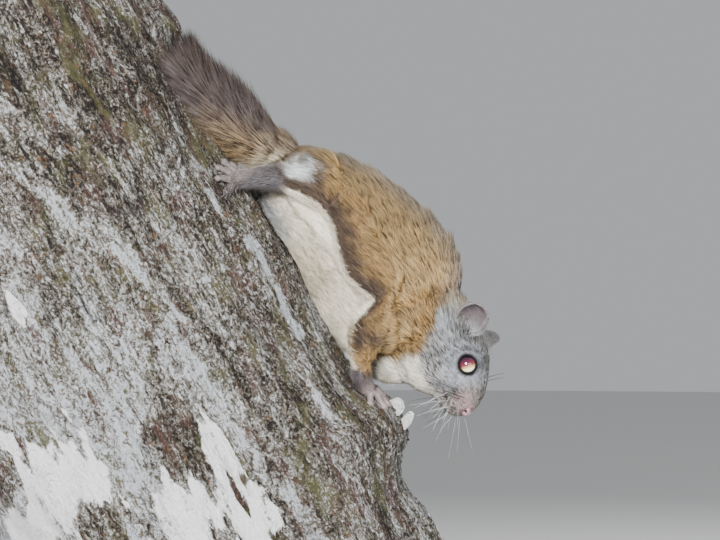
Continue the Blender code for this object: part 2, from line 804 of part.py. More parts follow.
def lock(name, root, bend, tip, width, facing):
    """Flat lock that tapers along a bent line to its tip."""
    bm = bmesh.new()
    rings = []
    profile = (0.62, 1.0, 0.7)
    for step, share in enumerate(profile):
        t = step / len(profile)
        place = root * (1 - t) ** 2 + bend * 2 * t * (1 - t) + tip * t * t
        along = ((bend - root) * (1 - t) + (tip - bend) * t).normalized()
        across = along.cross(facing).normalized()
        up = across.cross(along)
        half = width * share / 2.0
        ring = [place + across * half, place + up * half * LOCK_FLATNESS,
                place - across * half, place - up * half * LOCK_FLATNESS]
        rings.append([bm.verts.new(point) for point in ring])
    end = bm.verts.new(tip)
    skin_over(bm, rings, closed_ends=False)
    bm.faces.new(list(reversed(rings[0])))
    for i in range(4):
        bm.faces.new((rings[-1][i], rings[-1][(i + 1) % 4], end))
    bmesh.ops.recalc_face_normals(bm, faces=bm.faces[:])
    return new_object(name, bm)


def side_locks():
    made = []
    for row in range(SIDE_ROWS):
        for side in (1.0, -1.0):
            for level in (0.35, -0.35):
                place = (row + 0.5 + rng.uniform(-0.25, 0.25) + level * 0.7) / SIDE_ROWS
                here, along, across, face, wide, thick = tail_frame(tail_stop(place))
                reach = wide * rng.uniform(0.92, 1.06)
                run = rng.uniform(19.0, 24.0) * MM
                root = here + across * side * wide * 0.10 + face * level * thick * 0.35
                bend = here + across * side * reach * 0.72 + along * run * 0.36
                bend += face * level * thick * 1.05
                tip = here + across * side * reach + along * run
                tip += face * thick * (level * 0.5 + rng.uniform(-0.12, 0.12))
                made.append(lock("lock", root, bend, tip, LOCK_WIDTH * MM, face))
    return made


def flat_locks():
    made = []
    for row in range(FLAT_ROWS):
        for face_side in (1.0, -1.0):
            for column in (-1.0, 0.0, 1.0):
                place = (row + 0.2 + 0.3 * abs(column) + rng.uniform(-0.15, 0.15)) / FLAT_ROWS
                here, along, across, face, wide, thick = tail_frame(tail_stop(place))
                run = rng.uniform(21.0, 27.0) * MM
                spread = column * wide * 0.22
                up = face * face_side * thick
                root = here + across * spread * 0.6 + up * 0.12
                bend = here + across * spread * 1.5 + up * 1.0 + along * run * 0.45
                tip = here + across * (spread * 2.2 + rng.uniform(-1.5, 1.5) * MM)
                tip += up * rng.uniform(0.62, 0.8) + along * run
                made.append(lock("lock", root, bend, tip, LOCK_WIDTH * 1.15 * MM, face))
    return made


def end_locks():
    made = []
    here, along, across, face, wide, thick = tail_frame(TAIL_TO)
    for spread in (-0.9, -0.45, 0.0, 0.45, 0.9):
        for level in (0.4, -0.4):
            root = here - along * 6.0 * MM + across * spread * wide * 0.3
            tip = here + along * (12.0 - 5.0 * abs(spread) + level) * MM + across * spread * wide * 0.75
            bend = here + across * spread * wide * 0.7 + face * level * thick + along * 2.0 * MM
            made.append(lock("lock", root, bend, tip, LOCK_WIDTH * MM, face))
    return made


def make_tail(neighbours):
    bm = bmesh.new()
    sections = []
    for step in range(CORE_STEPS + 1):
        s = -TAIL[0][0] + (TAIL_TO + TAIL[0][0]) * step / CORE_STEPS
        here, _, across, face, wide, thick = tail_frame(s)
        share = CORE_SHARE * (CORE_END if step == CORE_STEPS else 1.0)
        sections.append((here, across * wide * share, face * thick * share))
    add_loft(bm, sections, 10)
    bmesh.ops.recalc_face_normals(bm, faces=bm.faces[:])
    tail = new_object("tail", bm)
    coat = bpy.data.collections.new("tail_locks")
    bpy.context.scene.collection.children.link(coat)
    for made in side_locks() + flat_locks() + end_locks():
        bpy.context.scene.collection.objects.unlink(made)
        coat.objects.link(made)
    union = tail.modifiers.new("Union", "BOOLEAN")
    union.operation = "UNION"
    union.solver = "MANIFOLD"
    union.operand_type = "COLLECTION"
    union.collection = coat
    apply_all(tail)
    drop(*list(coat.objects))
    bpy.data.collections.remove(coat)
    for neighbour in neighbours:
        less(tail, neighbour, "MANIFOLD")
    return keep_largest(tail)


# Finishes: colour as seen on screen, roughness, metallic
FINISHES = {
    "back_fur": ((170, 130, 82), 0.85, 0.0),
    "head_fur": ((168, 166, 162), 0.85, 0.0),
    "membrane_fur": ((112, 92, 74), 0.85, 0.0),
    "limb_fur": ((146, 126, 104), 0.85, 0.0),
    "tail_fur": ((134, 116, 104), 0.85, 0.0),
    "foot_skin": ((202, 172, 162), 0.6, 0.0),
    "ear_skin": ((156, 146, 150), 0.6, 0.0),
    "eye": ((26, 14, 16), 0.08, 0.0),
    "bark": ((128, 120, 112), 0.9, 0.0),
    "stand_wood": ((92, 62, 42), 0.45, 0.0),
    "stand_metal": ((150, 150, 150), 0.35, 1.0),
}
FINISH_OF = {
    "torso": "back_fur", "neck": "back_fur", "head": "head_fur", "patagium": "membrane_fur",
    "foreleg": "limb_fur", "hindleg": "limb_fur", "tail": "tail_fur", "forefoot": "foot_skin",
    "hindfoot": "foot_skin", "ear": "ear_skin", "eye": "eye", "perch_trunk": "bark",
    "stand_base": "stand_wood", "stand_rod": "stand_metal",
}


def linear(level):
    share = level / 255.0
    return share / 12.92 if share <= 0.04045 else ((share + 0.055) / 1.055) ** 2.4


def finish(node):
    """Gives a node its own material and smooth shading."""
    stem = next(key for key in FINISH_OF if node.name.startswith(key))
    colour, rough, metal = FINISHES[FINISH_OF[stem]]
    material = bpy.data.materials.new(node.name)
    material.use_nodes = True
    shader = material.node_tree.nodes["Principled BSDF"]
    shader.inputs["Base Color"].default_value = (*[linear(level) for level in colour], 1.0)
    shader.inputs["Roughness"].default_value = rough
    shader.inputs["Metallic"].default_value = metal
    node.data.materials.clear()
    node.data.materials.append(material)
    node.data.shade_smooth()
    node.data.name = node.name


def collect(name):
    """Moves every node into one collection named for the object."""
    parts = bpy.data.collections.new(name)
    bpy.context.scene.collection.children.link(parts)
    for node in list(bpy.context.scene.collection.objects):
        bpy.context.scene.collection.objects.unlink(node)
        parts.objects.link(node)
        finish(node)


def clear_scene():
    for old in list(bpy.data.objects):
        bpy.data.objects.remove(old, do_unlink=True)


def main():
    clear_scene()
    trunk = make_trunk("perch_trunk")
    nodes = part_flesh(make_flesh())
    finish_head(nodes["head"])
    feet = {}
    for side, mirror in (("left", 1.0), ("right", -1.0)):
        for kind, palm, toes in (("fore", FORE_PALM, FORE_TOES), ("hind", HIND_PALM, HIND_TOES)):
            foot = make_foot(f"{kind}foot_{side}", mirror, palm, toes)
            less(foot, nodes[f"{kind}leg_{side}"])
            less(foot, trunk, "MANIFOLD")
            feet[foot.name] = keep_largest(foot)
    for name in ("torso", "neck", "foreleg_left", "foreleg_right", "hindleg_left", "hindleg_right"):
        less(nodes[name], trunk)
        keep_largest(nodes[name])
    for side, mirror in (("left", 1.0), ("right", -1.0)):
        near = [nodes["torso"], nodes["neck"], nodes[f"foreleg_{side}"], nodes[f"hindleg_{side}"],
                feet[f"forefoot_{side}"], feet[f"hindfoot_{side}"], trunk]
        make_fold(side, mirror, near)
        make_eye(side, mirror, nodes["head"])
        keep_largest(nodes["head"])
        make_ear(side, mirror, [nodes["head"], nodes["neck"]])
    near = [nodes[name] for name in ("torso", "hindleg_left", "hindleg_right")]
    make_tail(near + [feet["hindfoot_right"], trunk])
    make_stand(trunk)
    collect("flying_squirrel")


main()
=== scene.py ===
"""Looks of a flying squirrel that clings head down to a cut length of trunk on a display stand."""

import math

import bmesh
import bpy
import numpy as np
from mathutils import Matrix, Vector, noise
from mathutils.kdtree import KDTree

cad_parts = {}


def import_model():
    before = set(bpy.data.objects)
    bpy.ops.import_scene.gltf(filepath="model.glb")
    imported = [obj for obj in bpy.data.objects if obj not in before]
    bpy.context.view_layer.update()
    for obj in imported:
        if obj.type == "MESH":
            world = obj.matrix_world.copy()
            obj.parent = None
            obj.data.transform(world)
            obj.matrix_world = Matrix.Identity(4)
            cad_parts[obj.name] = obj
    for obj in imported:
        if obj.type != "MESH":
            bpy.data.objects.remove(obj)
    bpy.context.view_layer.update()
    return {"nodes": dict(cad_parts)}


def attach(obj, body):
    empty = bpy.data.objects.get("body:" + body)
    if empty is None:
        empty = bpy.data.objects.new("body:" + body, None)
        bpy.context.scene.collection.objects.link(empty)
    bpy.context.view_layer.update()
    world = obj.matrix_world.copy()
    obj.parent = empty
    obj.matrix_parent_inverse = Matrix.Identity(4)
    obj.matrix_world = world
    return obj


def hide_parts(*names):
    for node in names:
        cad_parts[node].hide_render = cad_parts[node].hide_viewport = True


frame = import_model()

# Units and seed
MM = 0.001
SEED = 11
FULL_TURN = 2.0 * math.pi

# World frame in millimetres: X to the right, Y away from the viewer, Z up.
# CLING runs down the trunk towards the head, OUT stands away from the bark.
CLING = Vector((0.48, 0.0, -0.8775)).normalized()
OUT = Vector((0.8775, 0.0, 0.48)).normalized()
LEFT = Vector((0.0, 1.0, 0.0))
CREST = Vector((-28.6, 0.0, -2.8))
ORIGIN = Vector((-105.0, 0.0, -242.0))

# Cut length of trunk
TRUNK_RADIUS = 92.0
TRUNK_UPPER = -196.0
TRUNK_LOWER = 145.0
# Each swelling of the bark along the crest: place, length, height, width round the trunk
BARK_SWELLINGS = (
    (-129.0, 9.0, 6.6, 34.0),
    (-143.0, 11.0, 5.0, 34.0),
    (-8.0, 14.0, 2.2, 40.0),
    (74.0, 13.0, 10.5, 60.0),
    (88.0, 8.0, 6.0, 40.0),
    (52.0, 10.0, 1.0, 40.0),
    (109.0, 11.0, -4.0, 40.0),
)
BARK_RIDGE = 3.0
BARK_WAVES = 5.5

# Head frame: centre, turn and the places of eyes and ears in it
HEAD_CENTRE = Vector((45.5, -5.0, -40.6))
HEAD_YAW = math.radians(-25.0)
HEAD_PITCH = math.radians(-10.0)
EYE_AT = Vector((9.0, 10.4, 3.2))
EYE_LOOK = Vector((0.34, 0.92, 0.20))
EYE_RADIUS = 4.7
EAR_AT = Vector((-8.5, 9.5, 8.5))
EAR_LEAN = Vector((-0.36, 1.00, 0.78))
EAR_OPEN = Vector((0.80, 0.52, -0.30))
EAR_LENGTH = 18.5
EAR_WIDTH = 15.0
EAR_DEPTH = 9.0
EAR_WALL = 0.8

# Torso: s, top h, bottom h, half width
TORSO = (
    (-60.0, 27.5, 13.0, 8.0),
    (-55.0, 32.0, 5.0, 13.0),
    (-47.0, 40.0, 0.0, 19.5),
    (-36.0, 50.5, -2.0, 25.0),
    (-24.0, 58.5, -3.0, 28.0),
    (-8.0, 65.5, -3.0, 29.0),
    (8.0, 71.0, -3.0, 29.0),
    (23.0, 72.5, -3.0, 28.0),
    (34.0, 70.0, -1.0, 26.0),
    (43.0, 66.0, 3.0, 23.0),
    (51.0, 61.5, 8.0, 19.0),
)
# Neck: s, y, h of its middle, half width, half height
NECK = (
    (34.0, 0.0, 37.0, 24.0, 31.0),
    (44.0, -0.5, 35.5, 23.0, 30.0),
    (53.0, -2.0, 34.5, 21.5, 28.5),
    (60.0, -4.0, 34.5, 19.6, 26.0),
    (67.0, -6.5, 37.0, 16.6, 23.0),
    (74.0, -9.0, 40.0, 12.5, 17.5),
    (80.0, -11.0, 38.5, 9.0, 10.0),
)
# Head: forward, up at the top, up at the bottom, half width
HEAD = (
    (-18.0, 10.0, -13.0, 11.0),
    (-13.0, 13.2, -15.5, 13.4),
    (-6.0, 15.2, -16.5, 14.6),
    (1.0, 15.6, -16.8, 14.6),
    (7.0, 14.6, -17.2, 13.4),
    (12.0, 12.3, -17.2, 11.9),
    (17.0, 9.3, -16.2, 10.2),
    (21.5, 6.2, -14.2, 8.4),
    (25.0, 2.4, -12.0, 6.3),
    (26.8, -0.8, -9.6, 4.0),
)
# Balls that round the head out, left side: place, half sizes
HEAD_BALLS = (
    ((2.0, 7.5, -8.0), (11.0, 7.6, 8.4)),
    ((20.4, 5.0, -7.2), (5.4, 4.2, 4.4)),
    ((9.0, 4.5, -11.5), (9.0, 6.0, 7.0)),
    ((8.5, 8.4, 3.2), (6.6, 4.9, 6.4)),
    ((-9.0, 8.0, 7.5), (5.0, 4.4, 4.6)),
)
# Limbs, left side: points s, y, h and a radius each
FORELEG = (
    (46.0, 13.0, 33.0, 14.0),
    (41.0, 20.0, 22.0, 10.5),
    (38.0, 25.5, 13.0, 7.6),
    (45.0, 27.5, 8.5, 6.4),
    (51.5, 27.5, 6.5, 5.0),
)
HINDLEG = (
    (-33.0, 13.0, 31.0, 15.0),
    (-27.0, 21.0, 30.0, 11.0),
    (-25.0, 26.0, 28.0, 8.0),
    (-34.0, 27.5, 21.5, 7.0),
    (-43.0, 27.5, 15.5, 6.2),
)
# Skin fold along the flank, left side: s, then y and h where it leaves the flank, then of its edge
FOLD = (
    (-44.0, 18.0, 27.0, 27.0, 14.0),
    (-38.0, 19.5, 34.0, 29.0, 14.6),
    (-31.0, 21.5, 40.0, 31.0, 19.8),
    (-23.0, 23.0, 43.0, 32.0, 24.2),
    (-14.0, 24.0, 44.0, 32.6, 25.2),
    (-6.0, 24.5, 43.0, 32.6, 23.3),
    (2.0, 24.5, 42.0, 32.4, 20.6),
    (11.0, 24.5, 41.0, 32.4, 19.4),
    (19.0, 24.0, 42.0, 32.4, 22.2),
    (26.5, 23.5, 42.0, 32.4, 25.4),
    (28.8, 23.0, 39.0, 32.0, 18.5),
    (31.5, 22.0, 36.0, 31.0, 12.0),
    (36.0, 21.0, 31.0, 30.0, 7.8),
    (42.0, 21.0, 26.0, 29.0, 5.2),
    (49.0, 22.0, 18.0, 28.4, 4.6),
)
FOLD_HALF_THICK = 1.8
# Feet, left side. Palm or sole: s, y, height over the bark, radius. Toes: s and y of each tip.
FORE_PALM = ((52.5, 26.5, 6.6, 4.0), (56.5, 25.0, 4.0, 3.8), (60.0, 24.0, 2.8, 3.8))
FORE_TOES = ((67.0, 15.5), (71.0, 20.5), (71.0, 26.5), (66.5, 31.5))
HIND_PALM = ((-43.0, 27.5, 17.5, 5.4), (-47.5, 29.5, 10.5, 4.6), (-51.0, 32.0, 4.0, 4.0))
HIND_TOES = ((-58.5, 25.5), (-61.0, 31.0), (-60.0, 36.5), (-55.5, 41.0), (-48.0, 42.5))
TOE_RADII = (1.75, 1.6, 1.45)
TOE_ARCH = 1.6
# Tail: distance up the trunk, y, h, tilt in degrees, half width and half thickness over the tips
TAIL = (
    (46.0, 0.0, 25.0, 5.0, 14.0, 12.5),
    (56.0, -3.0, 17.0, 13.0, 17.5, 12.4),
    (66.0, -9.0, 12.0, 25.0, 19.5, 9.4),
    (77.0, -16.5, 7.6, 32.0, 20.0, 8.0),
    (88.0, -22.5, 4.4, 33.0, 18.0, 7.6),
    (97.0, -26.5, 2.8, 31.0, 14.5, 6.8),
    (104.0, -28.5, 2.2, 28.0, 11.0, 5.6),
)
CORE_SHARE = 0.42
TAIL_FROM = 46.0
TAIL_TO = 104.0
TAIL_STEP = 2.0

# Line of the mouth: forward, side, up
MOUTH = ((26.0, 0.0, -9.4), (24.6, 3.0, -9.9), (21.8, 6.0, -10.6), (18.0, 8.2, -11.0), (14.6, 9.6, -10.8))
NOSE_LOBES = ((26.5, 1.3, -3.7), (26.8, 0.0, -4.8))
NOSTRIL = (27.0, 2.3, -4.3)


# Places


def world(point):
    """A point in millimetres of the world frame, as metres from the base's underside."""
    return (Vector(point) - ORIGIN) * MM


def on_body(s, y, h):
    """s runs along the trunk to the head, y to the animal's left, h away from the bark."""
    return world(CREST + CLING * s + LEFT * y + OUT * h)


def place_array(s, y, h):
    """on_body for arrays."""
    spots = np.outer(s, np.array(CLING)) + np.outer(y, np.array(LEFT)) + np.outer(h, np.array(OUT))
    return (spots + np.array(CREST - ORIGIN)) * MM


def head_axes():
    level = CLING * math.cos(HEAD_YAW) + LEFT * math.sin(HEAD_YAW)
    nose = level * math.cos(HEAD_PITCH) + OUT * math.sin(HEAD_PITCH)
    side = LEFT * math.cos(HEAD_YAW) - CLING * math.sin(HEAD_YAW)
    return nose, side, nose.cross(side)


HEAD_NOSE, HEAD_SIDE, HEAD_CROWN = head_axes()


def head_turn(direction, mirror=1.0):
    """A direction of the head frame, mirrored to the right side with mirror -1."""
    return HEAD_NOSE * direction[0] + HEAD_SIDE * direction[1] * mirror + HEAD_CROWN * direction[2]


def on_head(point, mirror=1.0):
    return world(HEAD_CENTRE + head_turn(point, mirror))


def body_places(points):
    """s, y and h in millimetres of an array of points."""
    off = points / MM + np.array(ORIGIN - CREST)
    return off @ np.array(CLING), off @ np.array(LEFT), off @ np.array(OUT)


def head_places(points):
    """Forward, side and up in millimetres of an array of points."""
    off = points / MM + np.array(ORIGIN - HEAD_CENTRE)
    return off @ np.array(HEAD_NOSE), off @ np.array(HEAD_SIDE), off @ np.array(HEAD_CROWN)


def column(table, index):
    return np.array([row[index] for row in table])


def follow(table, places, index):
    """A column of a table at places along its first column."""
    return np.interp(places, column(table, 0), column(table, index))


def bark_height(s, turn):
    """How far the bark stands off its plain cylinder at a place along and round the trunk."""
    across = turn * TRUNK_RADIUS
    height = 0.0
    for place, length, lift, width in BARK_SWELLINGS:
        along = (s - place) / length
        height += lift * math.exp(-along * along - (across / width) ** 2)
    folds = noise.noise(Vector((s * 0.018, math.cos(turn) * 2.1, math.sin(turn) * 2.1)))
    ridges = noise.noise(Vector((s * 0.012, math.cos(turn) * BARK_WAVES, math.sin(turn) * BARK_WAVES)))
    away = min(1.0, abs(across) / 60.0)
    return height + away * (2.0 * BARK_RIDGE * folds) + (0.35 + away) * BARK_RIDGE * ridges


def bark_at(s, y):
    """Height h of the bark above the crest line at a place beside it."""
    turn = math.asin(max(-0.95, min(0.95, y / TRUNK_RADIUS)))
    radius = TRUNK_RADIUS + bark_height(s, turn)
    return radius * math.cos(turn) - TRUNK_RADIUS


# Array helpers


def ramp(values, low, high):
    """0 below low, 1 above high and smooth between."""
    share = np.clip((values - low) / (high - low), 0.0, 1.0)
    return share * share * (3.0 - 2.0 * share)


def unit(vectors):
    return vectors / np.maximum(np.linalg.norm(vectors, axis=1, keepdims=True), 1e-12)


def ripple(places, grain, seed, waves=12):
    """Smooth noise of about -1 to 1 over places in millimetres; grain is the size of its patches."""
    rng = np.random.default_rng(seed)
    ways = unit(rng.normal(size=(waves, places.shape[1])))
    ways *= FULL_TURN / grain * rng.uniform(0.45, 1.3, size=(waves, 1))
    total = np.sin(places @ ways.T + rng.uniform(0.0, FULL_TURN, waves)).sum(axis=1)
    return total / math.sqrt(waves)


def near_line(points, line, radii):
    """Gap to the surface of a round limb along a line, in millimetres, and the direction there."""
    best = np.full(len(points), 1e9)
    way = np.zeros((len(points), 3))
    for start, end, thick, thin in zip(line, line[1:], radii, radii[1:]):
        run = end - start
        share = np.clip((points - start) @ run / (run @ run), 0.0, 1.0)
        gap = np.linalg.norm(points - start - share[:, None] * run, axis=1) / MM
        gap -= thick + (thin - thick) * share
        closer = gap < best
        best[closer] = gap[closer]
        way[closer] = run / np.linalg.norm(run)
    return best, way


# Mesh helpers


def add_object(name, data):
    made = bpy.data.objects.new(name, data)
    bpy.context.scene.collection.objects.link(made)
    return made


def new_object(name, bm):
    mesh = bpy.data.meshes.new(name)
    bm.to_mesh(mesh)
    bm.free()
    mesh.shade_smooth()
    return add_object(name, mesh)


def closed_object(name, bm):
    """A piece whose faces all look outward."""
    bmesh.ops.recalc_face_normals(bm, faces=bm.faces[:])
    return new_object(name, bm)


def apply_all(target):
    graph = bpy.context.evaluated_depsgraph_get()
    graph.update()
    mesh = bpy.data.meshes.new_from_object(target.evaluated_get(graph))
    target.modifiers.clear()
    target.data = mesh


def ring_frame(centre, across, up):
    """Matrix that lays a unit circle on a centre and two half axes."""
    place = Matrix.Translation(centre)
    return place @ Matrix((across, up, across.cross(up).normalized())).transposed().to_4x4()


def add_loft(bm, sections, sides):
    """sections: centre, half axis across, half axis up, each a vector in metres."""
    rings = []
    for count, (centre, across, up) in enumerate(sections):
        capped = count in (0, len(sections) - 1)
        made = bmesh.ops.create_circle(bm, cap_ends=capped, segments=sides, radius=1.0,
                                       matrix=ring_frame(centre, across, up))
        ring = set(made["verts"])
        rings.append([edge for vert in ring for edge in vert.link_edges if edge.verts[0] == vert])
    for low, high in zip(rings, rings[1:]):
        bmesh.ops.bridge_loops(bm, edges=low + high)


def add_ball(bm, centre, radii, axes=None, rounds=3):
    turn = Matrix(axes).transposed() if axes else Matrix.Identity(3)
    shape = turn @ Matrix.Diagonal(Vector(radii)) @ turn.transposed()
    bmesh.ops.create_icosphere(bm, subdivisions=rounds, radius=1.0,
                               matrix=Matrix.Translation(centre) @ shape.to_4x4())


def add_limb(bm, points, radii, sides=16):
    """Round limb through the points, with a ball at each joint."""
    for (start, end), (thick, thin) in zip(zip(points, points[1:]), zip(radii, radii[1:])):
        along = (end - start).normalized()
        across = along.orthogonal().normalized()
        up = along.cross(across)
        add_loft(bm, [(start, across * thick, up * thick), (end, across * thin, up * thin)], sides)
    for point, radius in zip(points, radii):
        add_ball(bm, point, (radius,) * 3)


def fuse(made, voxel, rounds):
    """One smoothed surface over overlapping forms, from cells of a size in millimetres."""
    remesh = made.modifiers.new("Fuse", "REMESH")
    remesh.mode = "VOXEL"
    remesh.voxel_size = voxel * MM
    smooth = made.modifiers.new("Soften", "SMOOTH")
    smooth.factor = 0.5
    smooth.iterations = rounds
    apply_all(made)


def fused(name, bm, voxel, rounds, faces=None):
    """A fused piece, thinned out to a face count where one is given."""
    made = closed_object(name, bm)
    fuse(made, voxel, rounds)
    if faces:
        fewer = made.modifiers.new("Thin", "DECIMATE")
        fewer.ratio = min(1.0, faces / (2.0 * len(made.data.polygons)))
        apply_all(made)
    made.data.shade_smooth()
    return made


def cut(target, bm):
    """Takes the forms in a bmesh out of a solid."""
    tool = closed_object("tool", bm)
    change = target.modifiers.new("Cut", "BOOLEAN")
    change.operation = "DIFFERENCE"
    change.solver = "MANIFOLD"
    change.object = tool
    apply_all(target)
    target.data.materials.clear()
    bpy.data.objects.remove(tool, do_unlink=True)


def points_of(mesh, normals=False):
    """Vertex places of a mesh as an array, or its vertex normals."""
    values = np.empty(len(mesh.vertices) * 3, np.float32)
    if normals:
        mesh.vertex_normals.foreach_get("vector", values)
    else:
        mesh.vertices.foreach_get("co", values)
    return values.reshape(-1, 3).astype(float)


def move_points(mesh, places):
    mesh.vertices.foreach_set("co", places.astype(np.float32).ravel())
    mesh.update()


def write_masks(mesh, masks):
    """One number for each vertex under each name, or the same number for all of them."""
    for name, values in masks.items():
        layer = mesh.attributes.new(name, "FLOAT", "POINT")
        layer.data.foreach_set("value", (np.zeros(len(mesh.vertices)) + values).astype(np.float32))


def dress(made, finish, slot, *nodes):
    """Gives a piece its finish and body, and hides the nodes that it stands for; the slot is not used."""
    made.data.materials.append(finish)
    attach(made, "root")
    if nodes:
        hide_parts(*nodes)


# Materials


def linear(colour):
    """A colour as seen on screen, 0 to 255, as the shader's own numbers."""
    made = []
    for level in colour:
        share = level / 255.0
        made.append(share / 12.92 if share <= 0.04045 else ((share + 0.055) / 1.055) ** 2.4)
    return (*made, 1.0)


class Value:
    """A socket of a material that takes part in Python sums."""

    def __init__(self, finish, socket):
        self.finish = finish
        self.socket = socket

    def sum(self, operation, *others):
        return self.finish.math(operation, self, *others)

    def __add__(self, other):
        return self.sum("ADD", other)

    def __sub__(self, other):
        return self.sum("SUBTRACT", other)

    def __mul__(self, other):
        return self.sum("MULTIPLY", other)

    def __rsub__(self, other):
        return self.finish.math("SUBTRACT", other, self)

    __radd__ = __add__
    __rmul__ = __mul__


class Finish:
    """A material that is built node by node."""

    def __init__(self, name, roughness, **constants):
        self.material = bpy.data.materials.new(name)
        self.material.use_nodes = True
        self.tree = self.material.node_tree
        self.shader = self.tree.nodes["Principled BSDF"]
        self.paint("Roughness", roughness)
        for key, value in constants.items():
            self.paint(key.replace("_", " ").title(), value)

    def node(self, kind, settings=None, inputs=None, output=0):
        made = self.tree.nodes.new(kind)
        for key, value in (settings or {}).items():
            if key == "stops":
                self.fill_ramp(made.color_ramp, value)
            else:
                setattr(made, key, value)
        for key, value in (inputs or {}).items():
            self.feed(made.inputs[key], value)
        return Value(self, made.outputs[output])

    def fill_ramp(self, table, stops):
        while len(table.elements) < len(stops):
            table.elements.new(1.0)
        for element, (place, colour) in zip(table.elements, stops):
            element.position = place
            element.color = linear(colour)

    def feed(self, socket, value):
        if isinstance(value, Value):
            self.tree.links.new(value.socket, socket)
        elif isinstance(value, tuple) and len(value) == 3 and socket.type == "RGBA":
            socket.default_value = linear(value)
        else:
            socket.default_value = value

    def math(self, operation, *values):
        return self.node("ShaderNodeMath", {"operation": operation}, dict(enumerate(values)))

    def clamp(self, value):
        return self.node("ShaderNodeClamp", None, {"Value": value})

    def mix(self, first, second, factor):
        """Colour from first to second as factor goes from 0 to 1."""
        inputs = {0: factor, 6: first, 7: second}
        return self.node("ShaderNodeMix", {"data_type": "RGBA"}, inputs, output=2)

    def attribute(self, name):
        return self.node("ShaderNodeAttribute", {"attribute_name": name}, output=2)

    def place(self, stretch=(1.0, 1.0, 1.0), turn=(0.0, 0.0, 0.0), chart=None):
        """Object coordinates, or those of a named chart on the piece, turned and stretched."""
        if chart:
            source = self.node("ShaderNodeUVMap", {"uv_map": chart})
        else:
            source = self.node("ShaderNodeTexCoord", output=3)
        return self.node("ShaderNodeMapping", None, {"Vector": source, "Rotation": turn, "Scale": stretch})

    def grain(self, where, scale, detail=3.0, roughness=0.55, distortion=0.0):
        inputs = {"Vector": where, "Scale": scale, "Detail": detail, "Roughness": roughness,
                  "Distortion": distortion}
        return self.node("ShaderNodeTexNoise", None, inputs)

    def paint(self, socket, value):
        self.feed(self.shader.inputs[socket], value)

    def bump(self, height, distance, strength=1.0):
        made = self.node("ShaderNodeBump", None, {"Height": height, "Distance": distance,
                                                  "Strength": strength})
        self.paint("Normal", made)


# Colours of the coat, as seen on screen
GOLD_DARK = (66, 48, 30)
GOLD_LIGHT = (188, 150, 93)
MAUVE_DARK = (40, 35, 40)
# Colours over the gold, each over the last: mask, then its darkest and lightest shade or its only one
FUR_LAYERS = (
    ("mauve", MAUVE_DARK, (112, 103, 105)),
    ("grey", (40, 38, 42), (182, 184, 186)),
    ("pale", (206, 194, 166), (255, 251, 238)),
    # blue: bluish grey fur, and the bluish painted shade of the belly by the bark
    ("blue", (62, 68, 82), (176, 188, 206)),
    ("white", (232, 236, 240)),
    ("dark", (34, 28, 27), (98, 80, 66)),
    ("blush", (174, 138, 143)),
)
# Near black of the lids, the eye rings and the dark whiskers, and the painted shade inside the nostrils
BLACK_AND_SHADE = (14, 11, 12)
FLECK = (40, 30, 25)
UNDERFUR = (66, 56, 52)
TIP_FUR = (240, 220, 176)
MASKS = ("grey", "mauve", "pale", "blue", "white", "dark", "soot", "blush", "warm")


def coat_finish(name, roughness=0.62, bump=False):
    """Fur that reads its markings from the piece, darker at the roots, with flecks and pale tips."""
    kit = Finish(name, roughness)
    kit.paint("Specular IOR Level", 0.25)
    mask = {key: kit.attribute(key) for key in MASKS}
    shade = kit.attribute("shade")
    along = kit.attribute("along")
    mask["grey"] = mask["grey"] * (1.0 - mask["mauve"] * 0.6)
    colour = kit.mix(GOLD_DARK, GOLD_LIGHT, shade)
    for key, *tones in FUR_LAYERS:
        tone = kit.mix(*tones, shade) if len(tones) > 1 else tones[0]
        colour = kit.mix(colour, tone, mask[key])
    light = kit.clamp(mask["pale"] + mask["white"])
    flecks = kit.clamp((0.24 - shade) * 12.0) * (1.0 - light * 0.85)
    colour = kit.mix(colour, FLECK, flecks * kit.clamp(along * 2.2 - 0.4) * 0.85)
    tips = kit.clamp((along - 0.55) * 1.9) * (1.0 - flecks) * (1.0 - mask["dark"] * 0.8)
    colour = kit.mix(colour, TIP_FUR, tips * mask["warm"] * 0.5)
    roots = kit.clamp(1.0 - along * 2.6) * (1.0 - light * 0.75)
    colour = kit.mix(colour, UNDERFUR, roots * 0.6)
    colour = kit.mix(colour, BLACK_AND_SHADE, mask["soot"])
    kit.paint("Base Color", colour)
    if bump:
        where = kit.place()
        kit.bump(kit.grain(where, 900.0, 4.0) + kit.grain(where, 260.0), 0.0006, 0.7)
    return kit.material


def skin_finish(name, base, deep, blood, shine=0.5):
    """Bare skin with a fine wrinkled grain; the piece says where it is rosier and where furred."""
    kit = Finish(name, 0.5)
    kit.paint("Specular IOR Level", shine)
    where = kit.place()
    tone = kit.mix(base, deep, kit.grain(where, 240.0, 4.0))
    tone = kit.mix(tone, blood, kit.attribute("blush"))
    tone = kit.mix(tone, MAUVE_DARK, kit.attribute("mauve"))
    tone = kit.mix(tone, (186, 178, 182), kit.attribute("rim") * 0.6)
    tone = kit.mix(tone, BLACK_AND_SHADE, kit.attribute("soot"))
    kit.paint("Base Color", tone)
    kit.paint("Roughness", kit.grain(where, 500.0) * 0.3 + 0.35)
    kit.bump(kit.grain(where, 1400.0, 5.0), 0.0004, 0.6)
    return kit.material


def horn_finish():
    """Claws: dark grey-brown horn that pales to the root."""
    kit = Finish("claw_horn", 0.3)
    along = kit.attribute("along")
    kit.paint("Base Color", kit.mix((150, 132, 120), (58, 46, 42), along))
    kit.bump(kit.grain(kit.place(), 1800.0), 0.0001, 0.4)
    return kit.material


